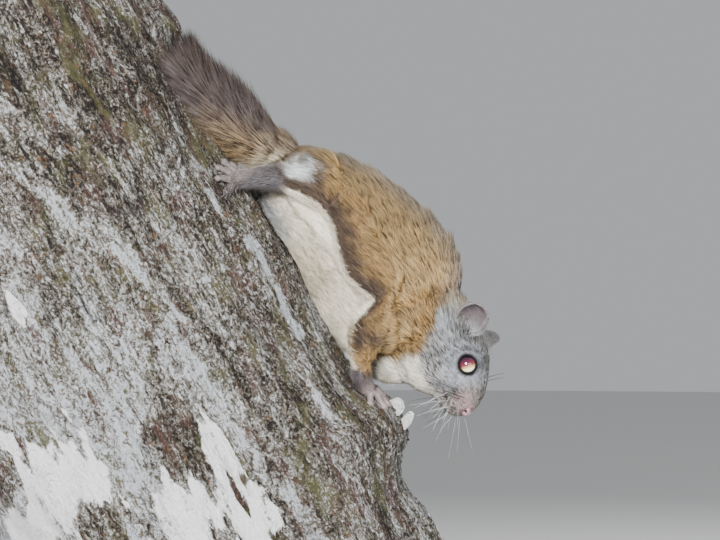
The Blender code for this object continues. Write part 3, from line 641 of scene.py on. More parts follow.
def eye_finish():
    """Black round a painted eyeshine: a reflection of light painted as colour and as a faint glow, from
    reddish purple above to pale yellow below.
    """
    kit = Finish("eye_wet", 0.04, coat_weight=1.0, coat_roughness=0.02)
    rim = kit.clamp((kit.attribute("ring") - 0.67) * 9.0)
    rise = kit.clamp(kit.attribute("rise"))
    stops = ((0.0, (255, 252, 224)), (0.24, (250, 238, 176)), (0.36, (200, 156, 96)), (0.52, (116, 50, 50)),
             (0.70, (92, 28, 50)), (1.0, (40, 14, 30)))
    painted_eyeshine = kit.node("ShaderNodeValToRGB", {"stops": stops}, {"Fac": rise})
    kit.paint("Base Color", kit.mix(painted_eyeshine, (5, 4, 6), rim))
    kit.paint("Emission Color", kit.mix(painted_eyeshine, (0, 0, 0), rim))
    # Emission: the painted eyeshine glows a little, though the eye is no lamp
    kit.paint("Emission Strength", 0.16)
    return kit.material


def bark_finish():
    """Crumbly bark, olive, grey and brown, speckled with pale lichen, with white patches and fissures."""
    kit = Finish("bark", 0.88)
    kit.paint("Specular IOR Level", 0.2)
    pale = kit.attribute("pale")
    white = kit.attribute("white")

    def drawn(along, *look, turn=0.0):
        """Grain on the bark's own chart, drawn out along the trunk by a scale below 1."""
        return kit.grain(kit.place((along, 1.0, 1.0), (0.0, 0.0, turn), "Bark"), *look)

    crumbs = drawn(0.8, 90.0, 5.0, 0.8, 0.8)
    flakes = drawn(0.5, 34.0, 5.0, 0.7, 1.6)
    strips = drawn(0.16, 13.0, 5.0, 0.65, 0.6)
    broad = drawn(0.4, 4.0, 4.0, 0.6, 0.8)
    crumb, flake, strip = crumbs - 0.5, flakes - 0.5, strips - 0.5
    level = crumb * 2.5 + flake * 2.1 + strip * 1.3 + (broad - 0.5) * 0.6
    level = level + pale * 0.42 + kit.attribute("plate") * 0.06 + 0.40
    stops = ((0.10, (34, 29, 28)), (0.30, (84, 77, 68)), (0.46, (122, 116, 104)), (0.58, (152, 148, 141)),
             (0.70, (192, 192, 192)), (0.86, (232, 236, 240)))
    colour = kit.node("ShaderNodeValToRGB", {"stops": stops}, {"Fac": kit.clamp(level)})
    middle = 1.0 - kit.clamp((level - 0.62) * 6.0)
    brown = drawn(0.4, 9.0, 5.0, 0.7, 0.6)
    colour = kit.mix(colour, (104, 74, 68), kit.clamp((brown - 0.52) * 9.0) * middle * 0.55)
    moss = drawn(0.5, 7.5, 5.0, 0.7, 0.3)
    colour = kit.mix(colour, (118, 116, 76), kit.clamp((moss - 0.52) * 8.0) * middle * 0.55)
    rust = drawn(0.5, 28.0, 3.0, 0.6)
    colour = kit.mix(colour, (150, 108, 72), kit.clamp((rust - 0.62) * 16.0) * middle * 0.6)
    film = kit.clamp((pale + flake * 2.0 + strip * 1.6 + crumb * 0.8 - 0.52) * 2.4)
    colour = kit.mix(colour, (206, 216, 230), film * 0.34)
    vein = drawn(0.1, 15.0, 4.0, 0.6, 0.4, turn=0.12)
    fissure = kit.clamp(1.0 - kit.math("ABSOLUTE", vein - 0.5) * 70.0)
    fissure = fissure * kit.clamp((broad - 0.46) * 7.0)
    colour = kit.mix(colour, (30, 25, 24), fissure * (1.0 - white) * 0.85)
    ragged = crumb * 1.4 + flake * 2.2 + strip * 2.4
    bright = kit.clamp((white * 1.45 + ragged * 0.8 - 0.62) * 3.2)
    stain = kit.clamp(flake * -3.0 + strip * -3.0 + crumb * -4.5 - 0.22)
    colour = kit.mix(colour, kit.mix((255, 255, 255), (132, 136, 146), stain * 0.85), bright)
    colour = kit.mix(colour, (34, 27, 26), kit.attribute("crack") * (1.0 - bright * 0.5) * 0.8)
    kit.paint("Base Color", colour)
    rough = crumbs * 1.3 + flakes * 1.5 + strips * 0.8 + fissure * -0.8
    kit.bump(rough * (1.0 - bright * 0.45), 0.0026, 1.0)
    return kit.material


def sawn_finish():
    """End grain: growth rings, drying cracks and saw marks."""
    kit = Finish("sawn_wood", 0.75)
    radius = kit.attribute("radius")
    where = kit.place()
    wobble = kit.grain(where, 9.0, 3.0) * 0.09
    rings = kit.math("SINE", (radius + wobble) * 210.0) * 0.5 + 0.5
    colour = kit.mix((206, 174, 128), (166, 126, 82), rings * rings)
    colour = kit.mix(colour, (120, 84, 54), kit.clamp((radius - 0.93) * 14.0) * 0.8)
    colour = kit.mix(colour, (92, 66, 46), kit.attribute("crack"))
    kit.paint("Base Color", colour)
    saw = kit.grain(kit.place((1.0, 30.0, 1.0)), 24.0, 2.0)
    kit.bump(saw + rings * 0.3, 0.0005, 0.6)
    return kit.material


def stand_wood_finish():
    """Dark stained wood with long grain under a satin varnish."""
    kit = Finish("stand_wood_satin", 0.38, coat_weight=0.25)
    where = kit.place((1.6, 16.0, 16.0))
    bands = kit.grain(where, 5.0, 6.0, 0.6, 1.2)
    pores = kit.grain(kit.place((6.0, 160.0, 160.0)), 6.0, 3.0, 0.7)
    colour = kit.mix((66, 42, 28), (112, 74, 46), bands)
    colour = kit.mix(colour, (40, 24, 16), kit.clamp((pores - 0.56) * 8.0) * 0.6)
    kit.paint("Base Color", colour)
    kit.paint("Roughness", bands * 0.2 + 0.3)
    kit.bump(pores + bands * 0.5, 0.0003, 0.4)
    return kit.material


def stand_metal_finish():
    """Brushed steel, drawn along the rod."""
    kit = Finish("stand_steel", 0.32, metallic=1.0)
    drawn = kit.grain(kit.place((260.0, 260.0, 6.0)), 5.0, 3.0)
    kit.paint("Base Color", kit.mix((136, 136, 138), (184, 184, 186), drawn))
    kit.paint("Roughness", drawn * 0.18 + 0.24)
    kit.bump(drawn, 0.00008, 0.3)
    return kit.material


def floor_finish():
    kit = Finish("studio_floor", 0.9)
    kit.paint("Base Color", (212, 212, 210))
    return kit.material


# Markings of skin and coat

# Where golden fur gives way to the grey head: h, then s
HEAD_EDGE = ((0.0, 48.3), (12.0, 49.0), (18.0, 53.0), (23.0, 55.8), (34.0, 55.3), (45.0, 48.5),
             (51.0, 42.5), (56.0, 43.5), (62.0, 46.5), (72.0, 49.0))
# Line between grey cheek and pale jaw in the head frame: forward, then up
JAW = ((-6.0, -17.5), (12.0, -16.0), (22.0, -12.0))
RUMP_PATCH = (-43.7, 24.7)
# Where the skin fold meets the foreleg, dark painted shade in the crease: s, then h
ELBOW_CREASE = (43.7, 18.3)


def eye_frame(mirror):
    """Centre of an eyeball and the way it looks."""
    return on_head(EYE_AT, mirror), head_turn(EYE_LOOK.normalized(), mirror).normalized()


def from_eye(points):
    """Distance to the nearer eyeball's centre, and from its line of sight, in millimetres."""
    nearest = np.full(len(points), 1e9)
    beside = np.full(len(points), 1e9)
    for mirror in (1.0, -1.0):
        centre, look = eye_frame(mirror)
        off = (points - np.array(centre)) / MM
        reach = np.linalg.norm(off, axis=1)
        ahead = off @ np.array(look)
        closer = reach < nearest
        nearest[closer] = reach[closer]
        aside = np.sqrt(np.maximum(reach ** 2 - ahead ** 2, 0.0))
        beside[closer] = aside[closer]
    return nearest, beside


def head_share(points):
    """1 on the head, 0 on the body, from the edge of the grey fur."""
    s, y, h = body_places(points)
    shift = ripple(points / MM, 8.0, 5) * 1.2
    wrist = ramp(np.abs(y), 20.0, 24.0) * (1.0 - ramp(h, 14.0, 18.0)) * (1.0 - ramp(s, 58.0, 62.0))
    past = s - follow(HEAD_EDGE, h, 1) + shift
    return (1.0 - wrist) * ramp(past, -2.6, 3.4)


def markings(points):
    """Share of each colour over an array of places on the body, with painted shade on the belly by the bark
    and in the elbow crease.
    """
    s, y, h = body_places(points)
    forward, side, up = head_places(points)
    shift = ripple(points / MM, 9.0, 3) * 0.9 + ripple(points / MM, 3.5, 4) * 0.5
    aside = np.abs(y)
    head = head_share(points)
    over_edge = h - follow(FOLD, s, 4)
    belly = (1.0 - ramp(over_edge + shift * 0.4, -1.6, -0.4)) * (1.0 - head)
    flank = ramp(aside, 10.0, 17.0) * ramp(s, -50.0, -44.0) * (1.0 - head)
    band = flank * ramp(over_edge, -0.5, 0.6) * (1.0 - ramp(over_edge + shift * 1.8, 4.5, 13.0))
    band *= 1.0 - ramp(s, 40.0, 45.0)
    rim = flank * (1.0 - ramp(np.abs(over_edge + 0.2), 0.35, 1.1)) * ramp(s, -40.0, -34.0) * (s < 30.0)
    # Painted shade in the crease between the foreleg and the skin fold
    crease_shade = np.exp(-((s - ELBOW_CREASE[0]) / 4.6) ** 2 - ((h - ELBOW_CREASE[1]) / 4.6) ** 2)
    patch = np.hypot(s - RUMP_PATCH[0], h - RUMP_PATCH[1]) + shift
    rump = (1.0 - ramp(patch, 4.4, 9.2)) * ramp(aside, 8.0, 14.0)
    border = ramp(patch, 6.0, 9.0) * (1.0 - ramp(patch, 10.0, 14.5)) * ramp(s + 45.0, -2.0, 4.0)
    ankle = ramp(-s, 34.0, 41.0) * (1.0 - ramp(h, 15.0, 22.0)) * ramp(aside, 16.0, 21.0)
    ridge = (1.0 - ramp(aside, 2.0, 22.0)) * ramp(h, 24.0, 44.0) * (1.0 - head)
    near_eye, beside_eye = from_eye(points)
    jaw = up + shift * 0.8 - follow(JAW, forward, 1)
    cheek = head * (1.0 - ramp(jaw, -3.0, 3.0))
    ruff = head * np.exp(-((forward + 12.5) / 6.5) ** 2 - ((up + 1.0) / 4.5) ** 2)
    nape = np.exp(-((forward + 21.0) / 4.5) ** 2 - ((up - 8.5) / 5.0) ** 2) * ramp(np.abs(side), 3.0, 9.0)
    crown = head * ramp(up + shift, 3.0, 12.5) * (1.0 - ramp(forward, 12.0, 22.0))
    beside = np.abs(side) + np.maximum(-6.5 - up, 0.0)
    bridge = head * ramp(forward, 20.0, 25.0) * (1.0 - ramp(beside, 1.8, 5.2)) * (1.0 - ramp(up, -2.0, 1.0))
    snout = head * ramp(forward, 18.0, 22.0) * (1.0 - ramp(np.abs(up + 4.0), 2.0, 5.0))
    pads = head * ramp(forward, 15.0, 21.0) * (1.0 - bridge)
    haunch = ramp(-s, 44.0, 56.0) * ramp(h, 14.0, 24.0)
    fawn = belly * np.exp(-((s - 2.0) / 18.0) ** 2) * (1.0 - ramp(h, 9.0, 21.0))
    # Bluish painted shade on the belly, low by the bark and towards the tail
    painted_bark_shade = ramp(10.0 - h, 0.0, 8.0) * ramp(-s, 8.0, 26.0) * belly
    return {
        "grey": np.maximum(head, ridge * 0.5),
        "mauve": np.clip(ridge * 0.85 + ankle * 0.95 + border * 0.85 + haunch * 0.55 + pads * 0.45,
                         0.0, 1.0),
        "pale": np.clip(belly * (1.0 - ankle) + cheek * (0.85 - 0.35 * pads) + rim * 0.9 + nape * 0.4
                        - fawn * 0.42, 0.0, 1.0),
        "blue": np.clip(head * (1.0 - ramp(near_eye, 8.0, 16.0)) * 0.36 + painted_bark_shade * 0.7 + ruff * 0.6, 0.0, 1.0),
        "white": np.clip(rump * 0.95 + ruff * 0.4 + cheek * 0.15, 0.0, 1.0),
        "dark": np.clip(band * (1.0 - rim) + crease_shade * 0.85 + crown * 0.12 + pads * 0.16, 0.0, 1.0)
        * (1.0 - rump),
        "soot": head * (0.85 - 0.85 * ramp(beside_eye, 4.2, 6.4)) * (1.0 - ramp(near_eye, 7.5, 9.5)),
        "blush": np.clip(bridge * 0.6 + snout * 0.34 + pads * 0.05, 0.0, 1.0),
        "warm": np.clip(1.0 - head * 0.5 + crown * 0.25 - haunch * 0.4, 0.0, 1.0),
    }


# Skin


def limb_lines():
    """Each leg as a line of points in metres and radii in millimetres."""
    made = []
    for table in (FORELEG, HINDLEG):
        for mirror in (1.0, -1.0):
            line = [np.array(on_body(s, y * mirror, h)) for s, y, h, _ in table]
            made.append((line, [row[-1] for row in table]))
    return made


def over_bark(s, y, lift, mirror):
    return on_body(s, y * mirror, bark_at(s, y * mirror) + lift)


def tail_frames(distances):
    """Place, way along, way across and way out of the tail at distances up the trunk, as arrays."""
    y, h, tilt, wide, thick = (follow(TAIL, distances, i) for i in range(1, 6))
    here = place_array(-distances, y, h)
    ahead = distances + TAIL_STEP
    along = unit(place_array(-ahead, follow(TAIL, ahead, 1), follow(TAIL, ahead, 2)) - here)
    lean = np.radians(tilt)[:, None]
    face = np.array(OUT) * np.cos(lean) - np.array(LEFT) * np.sin(lean)
    across = unit(np.cross(along, face))
    return here, along, across, unit(np.cross(across, along)), wide, thick


def add_body(bm):
    add_loft(bm, [(on_body(s, 0.0, (top + bottom) / 2.0), LEFT * half * MM,
                   OUT * (top - bottom) / 2.0 * MM) for s, top, bottom, half in TORSO], 48)
    add_loft(bm, [(on_body(s, y, h), LEFT * half * MM, OUT * rise * MM)
                  for s, y, h, half, rise in NECK], 40)
    add_loft(bm, [(on_head((forward, 0.0, (top + bottom) / 2.0)), HEAD_SIDE * half * MM,
                   HEAD_CROWN * (top - bottom) / 2.0 * MM) for forward, top, bottom, half in HEAD], 40)
    axes = [head_turn(axis) for axis in ((1, 0, 0), (0, 1, 0), (0, 0, 1))]
    for mirror in (1.0, -1.0):
        for place, half in HEAD_BALLS:
            add_ball(bm, on_head(place, mirror), [size * MM for size in half], axes)
    for line, radii in limb_lines():
        add_limb(bm, [Vector(point) for point in line], [radius * MM for radius in radii])


def add_fold(bm, mirror):
    sections = []
    for s, y_top, h_top, y_edge, h_edge in FOLD:
        top = on_body(s, y_top * mirror, h_top)
        edge = on_body(s, y_edge * mirror, h_edge)
        hang = (edge - top) / 2.0
        thick = hang.normalized().cross(CLING) * FOLD_HALF_THICK * MM
        sections.append(((top + edge) / 2.0, hang, thick))
    add_loft(bm, sections, 20)


def add_tail_core(bm):
    stops = np.linspace(TAIL[0][0], TAIL_TO, 24)
    here, _, across, face, wide, thick = tail_frames(stops)
    sections = []
    for i in range(len(stops)):
        share = CORE_SHARE * MM * (0.45 if i == len(stops) - 1 else 0.9)
        sections.append((Vector(here[i]), Vector(across[i] * wide[i] * share),
                         Vector(face[i] * thick[i] * share)))
    add_loft(bm, sections, 16)


COAT_DEPTH = 3.6
SKIN_VOXEL = 0.62
SKIN_FACES = 90000


def make_skin():
    """The body under its coat: fused, then drawn in by the depth of the coat."""
    bm = bmesh.new()
    add_body(bm)
    for mirror in (1.0, -1.0):
        add_fold(bm, mirror)
    add_tail_core(bm)
    skin = fused("skin", bm, SKIN_VOXEL, 6, SKIN_FACES)
    points = points_of(skin.data)
    normals = points_of(skin.data, normals=True)
    move_points(skin.data, points - normals * coat_depth(points)[:, None] * MM)
    points = points_of(skin.data)
    masks = markings(points)
    tail = tail_share(points)
    masks["mauve"] = masks["mauve"] * (1.0 - tail) + tail * 0.7
    masks["pale"] *= 1.0 - tail
    masks["dark"] *= 1.0 - tail
    masks["shade"] = 0.5 + 0.22 * ripple(points / MM, 1.6, 8)
    masks["along"] = 0.2
    write_masks(skin.data, masks)
    dress(skin, coat_finish("skin_fur", 0.7, bump=True), "back_fur", "torso", "neck", "head",
          "patagium_left", "patagium_right", "foreleg_left", "foreleg_right", "hindleg_left",
          "hindleg_right", "tail")
    return skin


def tail_share(points):
    s, _, _ = body_places(points)
    return ramp(-s, 54.0, 62.0)


def fold_share(points):
    """1 on the skin folds and 0 elsewhere."""
    s, y, h = body_places(points)
    within = (s > -46.0) & (s < 51.0) & (h < follow(FOLD, s, 2)) & (np.abs(y) > follow(FOLD, s, 1) + 2.0)
    return within.astype(float)


def limb_share(points):
    """1 on the legs, 0 on the trunk of the body, with the way that each leg runs."""
    share = np.zeros(len(points))
    way = np.zeros((len(points), 3))
    for line, radii in limb_lines():
        gap, run = near_line(points, line[1:], radii[1:])
        here = 1.0 - ramp(gap, 0.3, 3.0)
        stronger = here > share
        share[stronger] = here[stronger]
        way[stronger] = run[stronger]
    return share, way


def coat_depth(points):
    """How far the skin lies under the tips of the coat, in millimetres."""
    s, _, h = body_places(points)
    forward, _, up = head_places(points)
    head = head_share(points) * (up > -24.0)
    limb, _ = limb_share(points)
    depth = np.full(len(points), COAT_DEPTH)
    depth -= 1.6 * (1.0 - ramp(h - follow(FOLD, s, 4), -4.0, 2.0))
    depth = depth * (1.0 - limb) + 1.5 * limb
    on_head_depth = 1.9 - 1.4 * ramp(forward, 4.0, 22.0)
    near_eye, _ = from_eye(points)
    on_head_depth *= 0.25 + 0.75 * ramp(near_eye, 6.0, 10.0)
    depth = depth * (1.0 - head) + on_head_depth * head
    fold = fold_share(points)
    depth = depth * (1.0 - fold) + 0.7 * fold
    tail = tail_share(points)
    return depth * (1.0 - tail) + 0.1 * tail


# Tufts of the coat

# Size of a tuft's patch on the chart of colours
PATCH = 0.003
CORNERS = 3
TUFT_FLATNESS = 0.6
# Most triangles in one piece
PIECE_LIMIT = 190000
THROAT_TUFTS = 2900
THROAT = (60.0, 12.0)
RIM_TUFTS = 3600
RIM_FROM = -38.0
RIM_TO = 26.0
TAIL_TUFTS = 21800
EAR_TUFTS = 6400
FOOT_TUFTS = 10500


def tuft_faces(rings):
    """Triangles of one closed tuft of three sides, ring after ring to the tip."""
    faces = [(2, 1, 0)]
    for ring in range(rings - 1):
        for i in range(CORNERS):
            j = (i + 1) % CORNERS
            low, high = ring * CORNERS, (ring + 1) * CORNERS
            faces += [(low + i, low + j, high + j), (low + i, high + j, high + i)]
    last = (rings - 1) * CORNERS
    faces += [(last + i, last + (i + 1) % CORNERS, rings * CORNERS) for i in range(CORNERS)]
    return np.array(faces)


def ring_stops(rings):
    """Places of the rings along a tuft and the share of its width at each."""
    if rings == 1:
        return ((0.0, 1.0),)
    if rings == 2:
        return ((0.0, 0.8), (0.42, 1.0))
    return tuple((i / rings, 1.0 - 0.75 * i / rings) for i in range(rings))


def mesh_of_copies(name, points, faces):
    """One mesh of many small pieces: points of each piece, and the triangles that all share."""
    count, each = points.shape[:2]
    corners = (faces[None] + (np.arange(count) * each)[:, None, None]).reshape(-1)
    mesh = bpy.data.meshes.new(name)
    mesh.vertices.add(count * each)
    mesh.vertices.foreach_set("co", points.astype(np.float32).ravel())
    mesh.loops.add(len(corners))
    mesh.loops.foreach_set("vertex_index", corners.astype(np.int32))
    mesh.polygons.add(len(corners) // 3)
    mesh.polygons.foreach_set("loop_start", np.arange(0, len(corners), 3, dtype=np.int32))
    mesh.update(calc_edges=True)
    mesh.shade_smooth()
    return mesh


def coat_masks(count, **shares):
    """Every mark of the coat for a number of tufts: the shares that are given, and 0 for the rest."""
    return {key: np.zeros(count) + shares.get(key, 0.0) for key in (*MASKS, "shade")}


def add_tufts(name, tufts, masks, chart, rings):
    """One mesh of tufts. Each starts along its way, bends by its bend and ends in a point."""
    roots, ways, bends, normals, lengths, widths = tufts
    count = len(roots)
    side = unit(np.cross(ways, normals))
    top = np.cross(side, ways)
    rows = []
    along = []
    for stop, share in ring_stops(rings):
        middle = roots + ways * (lengths * stop)[:, None] + bends * (lengths * stop ** 2)[:, None]
        for corner in range(CORNERS):
            turn = FULL_TURN * corner / CORNERS
            half = (widths * share / 2.0)[:, None]
            rows.append(middle + side * half * math.cos(turn) + top * half * math.sin(turn) * TUFT_FLATNESS)
            along.append(stop)
    rows.append(roots + ways * lengths[:, None] + bends * lengths[:, None])
    along.append(1.0)
    points = np.stack(rows, axis=1)
    each = points.shape[1]
    faces = tuft_faces(rings)
    mesh = mesh_of_copies(name, points, faces)
    write_masks(mesh, {key: np.repeat(values, each) for key, values in masks.items()})
    write_masks(mesh, {"along": np.tile(np.array(along), count)})
    spread = np.array([((i % CORNERS) / CORNERS - 0.33, stop - 0.5) for i, stop in enumerate(along)])
    spots = np.repeat(chart, len(faces) * 3, axis=0) + np.tile(spread[faces.reshape(-1)] * PATCH, (count, 1))
    layer = mesh.uv_layers.new(name="OFBake")
    layer.uv.foreach_set("vector", np.clip(spots, 0.0, 1.0).astype(np.float32).ravel())
    return add_object(name, mesh)


def add_coat(name, slot, finish, tufts, masks, chart, rings, rng):
    """Tufts in as many pieces as keep each under the limit of triangles."""
    count = len(tufts[0])
    parts = math.ceil(count * (4 + 6 * (rings - 1)) / PIECE_LIMIT)
    order = rng.permutation(count)
    for part in range(parts):
        pick = np.sort(order[part::parts])
        piece = add_tufts(f"{name}_{part + 1}", [values[pick] for values in tufts],
                          {key: values[pick] for key, values in masks.items()}, chart[pick], rings)
        dress(piece, finish, slot)


def surface_roots(source, count, share, rng):
    """Random places over a surface, as dense as share says, with normals."""
    mesh = source.data
    mesh.calc_loop_triangles()
    corners = np.empty(len(mesh.loop_triangles) * 3, np.int32)
    mesh.loop_triangles.foreach_get("vertices", corners)
    corners = corners.reshape(-1, 3)
    points = points_of(mesh)
    normals = points_of(mesh, normals=True)
    a, b, c = (points[corners[:, i]] for i in range(3))
    area = np.linalg.norm(np.cross(b - a, c - a), axis=1)
    weight = np.cumsum(area * share((a + b + c) / 3.0))
    picks = np.searchsorted(weight / weight[-1], (np.arange(count) + rng.random(count)) / count)
    picks = np.minimum(picks, len(corners) - 1)
    u, v = rng.random((2, count))
    over = u + v > 1.0
    u[over], v[over] = 1.0 - u[over], 1.0 - v[over]
    mixed = np.stack((1.0 - u - v, u, v), axis=1)[:, :, None]
    roots = (points[corners[picks]] * mixed).sum(axis=1)
    return roots, unit((normals[corners[picks]] * mixed).sum(axis=1))


def lay(ways, normals, lean, rng, wander=0.16):
    """Hair directions: the way laid on the surface, lifted by the lean in radians, a little unruly."""
    flat = ways + rng.normal(scale=wander, size=ways.shape)
    flat = unit(flat - normals * (flat * normals).sum(axis=1, keepdims=True))
    lean = lean + rng.normal(scale=0.07, size=len(ways))
    start = flat * np.cos(lean)[:, None] + normals * np.sin(lean)[:, None]
    return start, flat


def body_lie(points):
    """The way that the coat lies at each place, not yet on the surface."""
    _, y, h = body_places(points)
    _, side, up = head_places(points)
    back = -np.array(CLING)[None] - np.outer(0.3 * (1.0 - ramp(h, 40.0, 62.0)), np.array(OUT))
    limb, run = limb_share(points)
    fold = fold_share(points)
    aside = np.sign(y)[:, None] * np.array(LEFT)
    hang = -np.array(OUT) * 0.3 + aside * 0.25 - np.array(CLING) * 0.85
    head = head_share(points) * (up > -26.0)
    spread = np.outer(np.sign(side) * ramp(np.abs(side), 2.0, 14.0) * 0.25, np.array(HEAD_SIDE))
    nose_back = -np.array(HEAD_NOSE)[None] + spread - np.outer(0.25 * ramp(-up, -6, 8), np.array(HEAD_CROWN))
    way = back * (1.0 - limb[:, None]) + run * limb[:, None] * 1.1 - np.array(CLING) * 0.2 * limb[:, None]
    way = way * (1.0 - fold[:, None]) + hang * fold[:, None]
    way = way * (1.0 - head[:, None]) + nose_back * head[:, None]
    swirl = np.stack([ripple(points / MM, 14.0, seed) for seed in (21, 22, 23)], axis=1)
    return unit(way + swirl * 0.13)


def body_chart(points):
    """Unwrap of the body by its own axis: s along, turn round it across."""
    s, y, h = body_places(points)
    middle = np.interp(s, column(TORSO, 0), (column(TORSO, 1) + column(TORSO, 2)) / 2.0)
    turn = np.arctan2(y, h - middle) / FULL_TURN + 0.5
    return np.stack((0.01 + (s + 62.0) / 150.0 * 0.55, 0.01 + turn * 0.96), axis=1)


def head_chart(points):
    """Unwrap of the head by the line from nape to nose."""
    forward, side, up = head_places(points)
    turn = np.arctan2(side, up + 2.0) / FULL_TURN + 0.5
    return np.stack((0.6 + (forward + 30.0) / 60.0 * 0.38, 0.01 + turn * 0.45), axis=1)


def coat_length(points):
    """Length of the hair at each place, in millimetres."""
    s, _, h = body_places(points)
    forward, _, up = head_places(points)
    over_edge = h - follow(FOLD, s, 4)
    length = 7.6 - 3.8 * (1.0 - ramp(over_edge, -3.0, 5.0))
    length *= 1.0 - 0.75 * ramp(-s, 42.0, 53.0)
    length += 4.5 * np.exp(-((s - 54.0) / 7.0) ** 2 - ((h - 13.0) / 8.0) ** 2)
    limb, _ = limb_share(points)
    length = length * (1.0 - limb) + limb * (3.2 + 2.6 * ramp(h, 12.0, 26.0) + 2.0 * ramp(-s, 30.0, 38.0))
    fold = fold_share(points)
    length = length * (1.0 - fold) + fold * (5.6 - 2.4 * (1.0 - ramp(over_edge, -1.0, 3.0)))
    head = head_share(points) * (up > -26.0)
    near_eye, _ = from_eye(points)
    on_head_length = 4.9 - 3.1 * ramp(forward, -14.0, 20.0)
    on_head_length *= 0.5 + 0.5 * ramp(near_eye, 6.0, 11.0)
    return length * (1.0 - head) + on_head_length * head


def clear_of_face(points):
    """0 on the eyeballs and the nose pad, 1 elsewhere."""
    near_eye, beside = from_eye(points)
    hidden = (beside < 5.2) & (near_eye < 9.0)
    return (~hidden & (head_places(points)[0] < 26.9)).astype(float)


def above_bark(points):
    """1 where a place stands clear of the trunk."""
    _, y, h = body_places(points)
    return (np.hypot(y, h + TRUNK_RADIUS) > TRUNK_RADIUS - 0.5).astype(float)


def comb(points):
    """Small turns of the hair that part it into locks."""
    return np.stack([ripple(points / MM, 3.2, seed, 16) for seed in (24, 25, 26)], axis=1)


def coat_part(name, slot, source, finish, rng, count, share, width, lean, rings=1, lock=0.2,
              speck=(1.7, 0.34)):
    """Tufts over the part of a surface that share picks out; speck is the size and depth of the mottling."""
    roots, normals = surface_roots(source, count, share, rng)
    ways, flat = lay(body_lie(roots) + comb(roots) * lock, normals, lean, rng)
    lengths = coat_length(roots) * rng.uniform(0.7, 1.2, count)
    bends = (flat - normals * 0.15) * 0.3 - ways * 0.12
    shown = roots + (ways * 0.75 + bends * 0.5) * (lengths * MM)[:, None]
    masks = markings(shown + rng.normal(scale=0.5 * MM, size=shown.shape))
    masks["soot"] = np.maximum(masks["soot"], markings(roots)["soot"])
    streaks = speck[1] * ripple(shown / MM, speck[0], 27, 24) + 0.1 * ripple(shown / MM, 6.0, 28)
    tone = 0.5 + streaks + rng.normal(scale=0.2, size=count)
    masks["shade"] = np.clip(tone, 0.0, 1.0)
    thick = width * (0.4 + 0.6 * np.clip(lengths / 7.0, 0.0, 1.2)) * rng.uniform(0.7, 1.25, count)
    tufts = (roots - normals * 0.3 * MM, ways, bends, normals, lengths * MM, thick * MM)
    chart = head_chart if slot == "head_fur" else body_chart
    add_coat(name, slot, finish, tufts, masks, chart(roots), rings, rng)


def body_region(points):
    head = (head_share(points) > 0.5) & (head_places(points)[2] > -26.0)
    limb, _ = limb_share(points)
    fold = fold_share(points) > 0.5
    clear = above_bark(points) * (body_places(points)[0] > -54.0)
    return {
        "head": head * clear * clear_of_face(points),
        "fold": (~head & fold) * clear,
        "limb": (~head & ~fold & (limb > 0.5)) * clear,
        "back": (~head & ~fold & (limb <= 0.5)) * clear,
    }


def region(name, weight=None):
    """Share of the coat for one region of the body, weighted where it grows denser."""
    def share(points):
        found = body_region(points)[name].astype(float)
        return found * weight(points) if weight else found
    return share


def head_weight(points):
    """Denser short hair towards the nose and the eyes."""
    forward, _, _ = head_places(points)
    near_eye, _ = from_eye(points)
    return 1.0 + 1.4 * ramp(forward, -4.0, 20.0) + 1.0 * (1.0 - ramp(near_eye, 6.0, 12.0))


def back_weight(points):
    s, _, h = body_places(points)
    return 0.7 + 0.6 * ramp(h - follow(FOLD, s, 4), -3.0, 3.0)


def make_coat(skin):
    """Fur of the body. Each part: name, slot, count, region, width, lean, and what else it differs in."""
    rng = np.random.default_rng(SEED)
    fur = coat_finish("coat_fur")
    back = region("back", back_weight)
    face = {"speck": (1.1, 0.52)}
    for name, slot, *form, more in (
        ("back_long", "back_fur", 24000, back, 0.46, 0.34, {"rings": 2, "lock": 0.1}),
        ("back_fine", "back_fur", 110000, back, 0.36, 0.3, {"lock": 0.12}),
        ("head_long", "head_fur", 7000, region("head"), 0.36, 0.4, {"rings": 2, "lock": 0.12, **face}),
        ("head_fine", "head_fur", 62000, region("head", head_weight), 0.32, 0.36, {"lock": 0.16, **face}),
        ("legs", "limb_fur", 24000, region("limb"), 0.42, 0.34, {}),
        ("folds", "membrane_fur", 20000, region("fold"), 0.4, 0.28, {}),
    ):
        coat_part("coat_" + name, slot, skin, fur, rng, *form, **more)


def make_throat_coat(skin):
    """Longer cream hair that stands out of the hollow between throat and forearm."""
    rng = np.random.default_rng(SEED + 7)

    def near(points):
        s, _, h = body_places(points)
        reach = ((s - THROAT[0]) / 8.0) ** 2 + ((h - THROAT[1]) / 6.0) ** 2
        return np.exp(-reach) * (limb_share(points)[0] < 0.1) * (s > 51.0) * (h < 15.5)

    roots, normals = surface_roots(skin, THROAT_TUFTS, near, rng)
    back = 1.0 - ramp(body_places(roots)[0], 54.0, 62.0)
    down = np.outer(0.35 - 1.1 * back, np.array(CLING)) - np.outer(0.45 - 0.35 * back, np.array(OUT))
    ways, flat = lay(body_lie(roots) * 0.3 + down, normals, 0.42, rng)
    masks = coat_masks(THROAT_TUFTS, pale=1.0, warm=0.3, shade=rng.uniform(0.4, 1.0, THROAT_TUFTS))
    lengths = rng.uniform(5.0, 7.5, THROAT_TUFTS) * MM
    tufts = (roots, ways, flat * 0.35, normals, lengths, rng.uniform(0.24, 0.36, THROAT_TUFTS) * MM)
    add_coat("coat_throat", "head_fur", coat_finish("throat_fur"), tufts, masks, head_chart(roots), 2, rng)


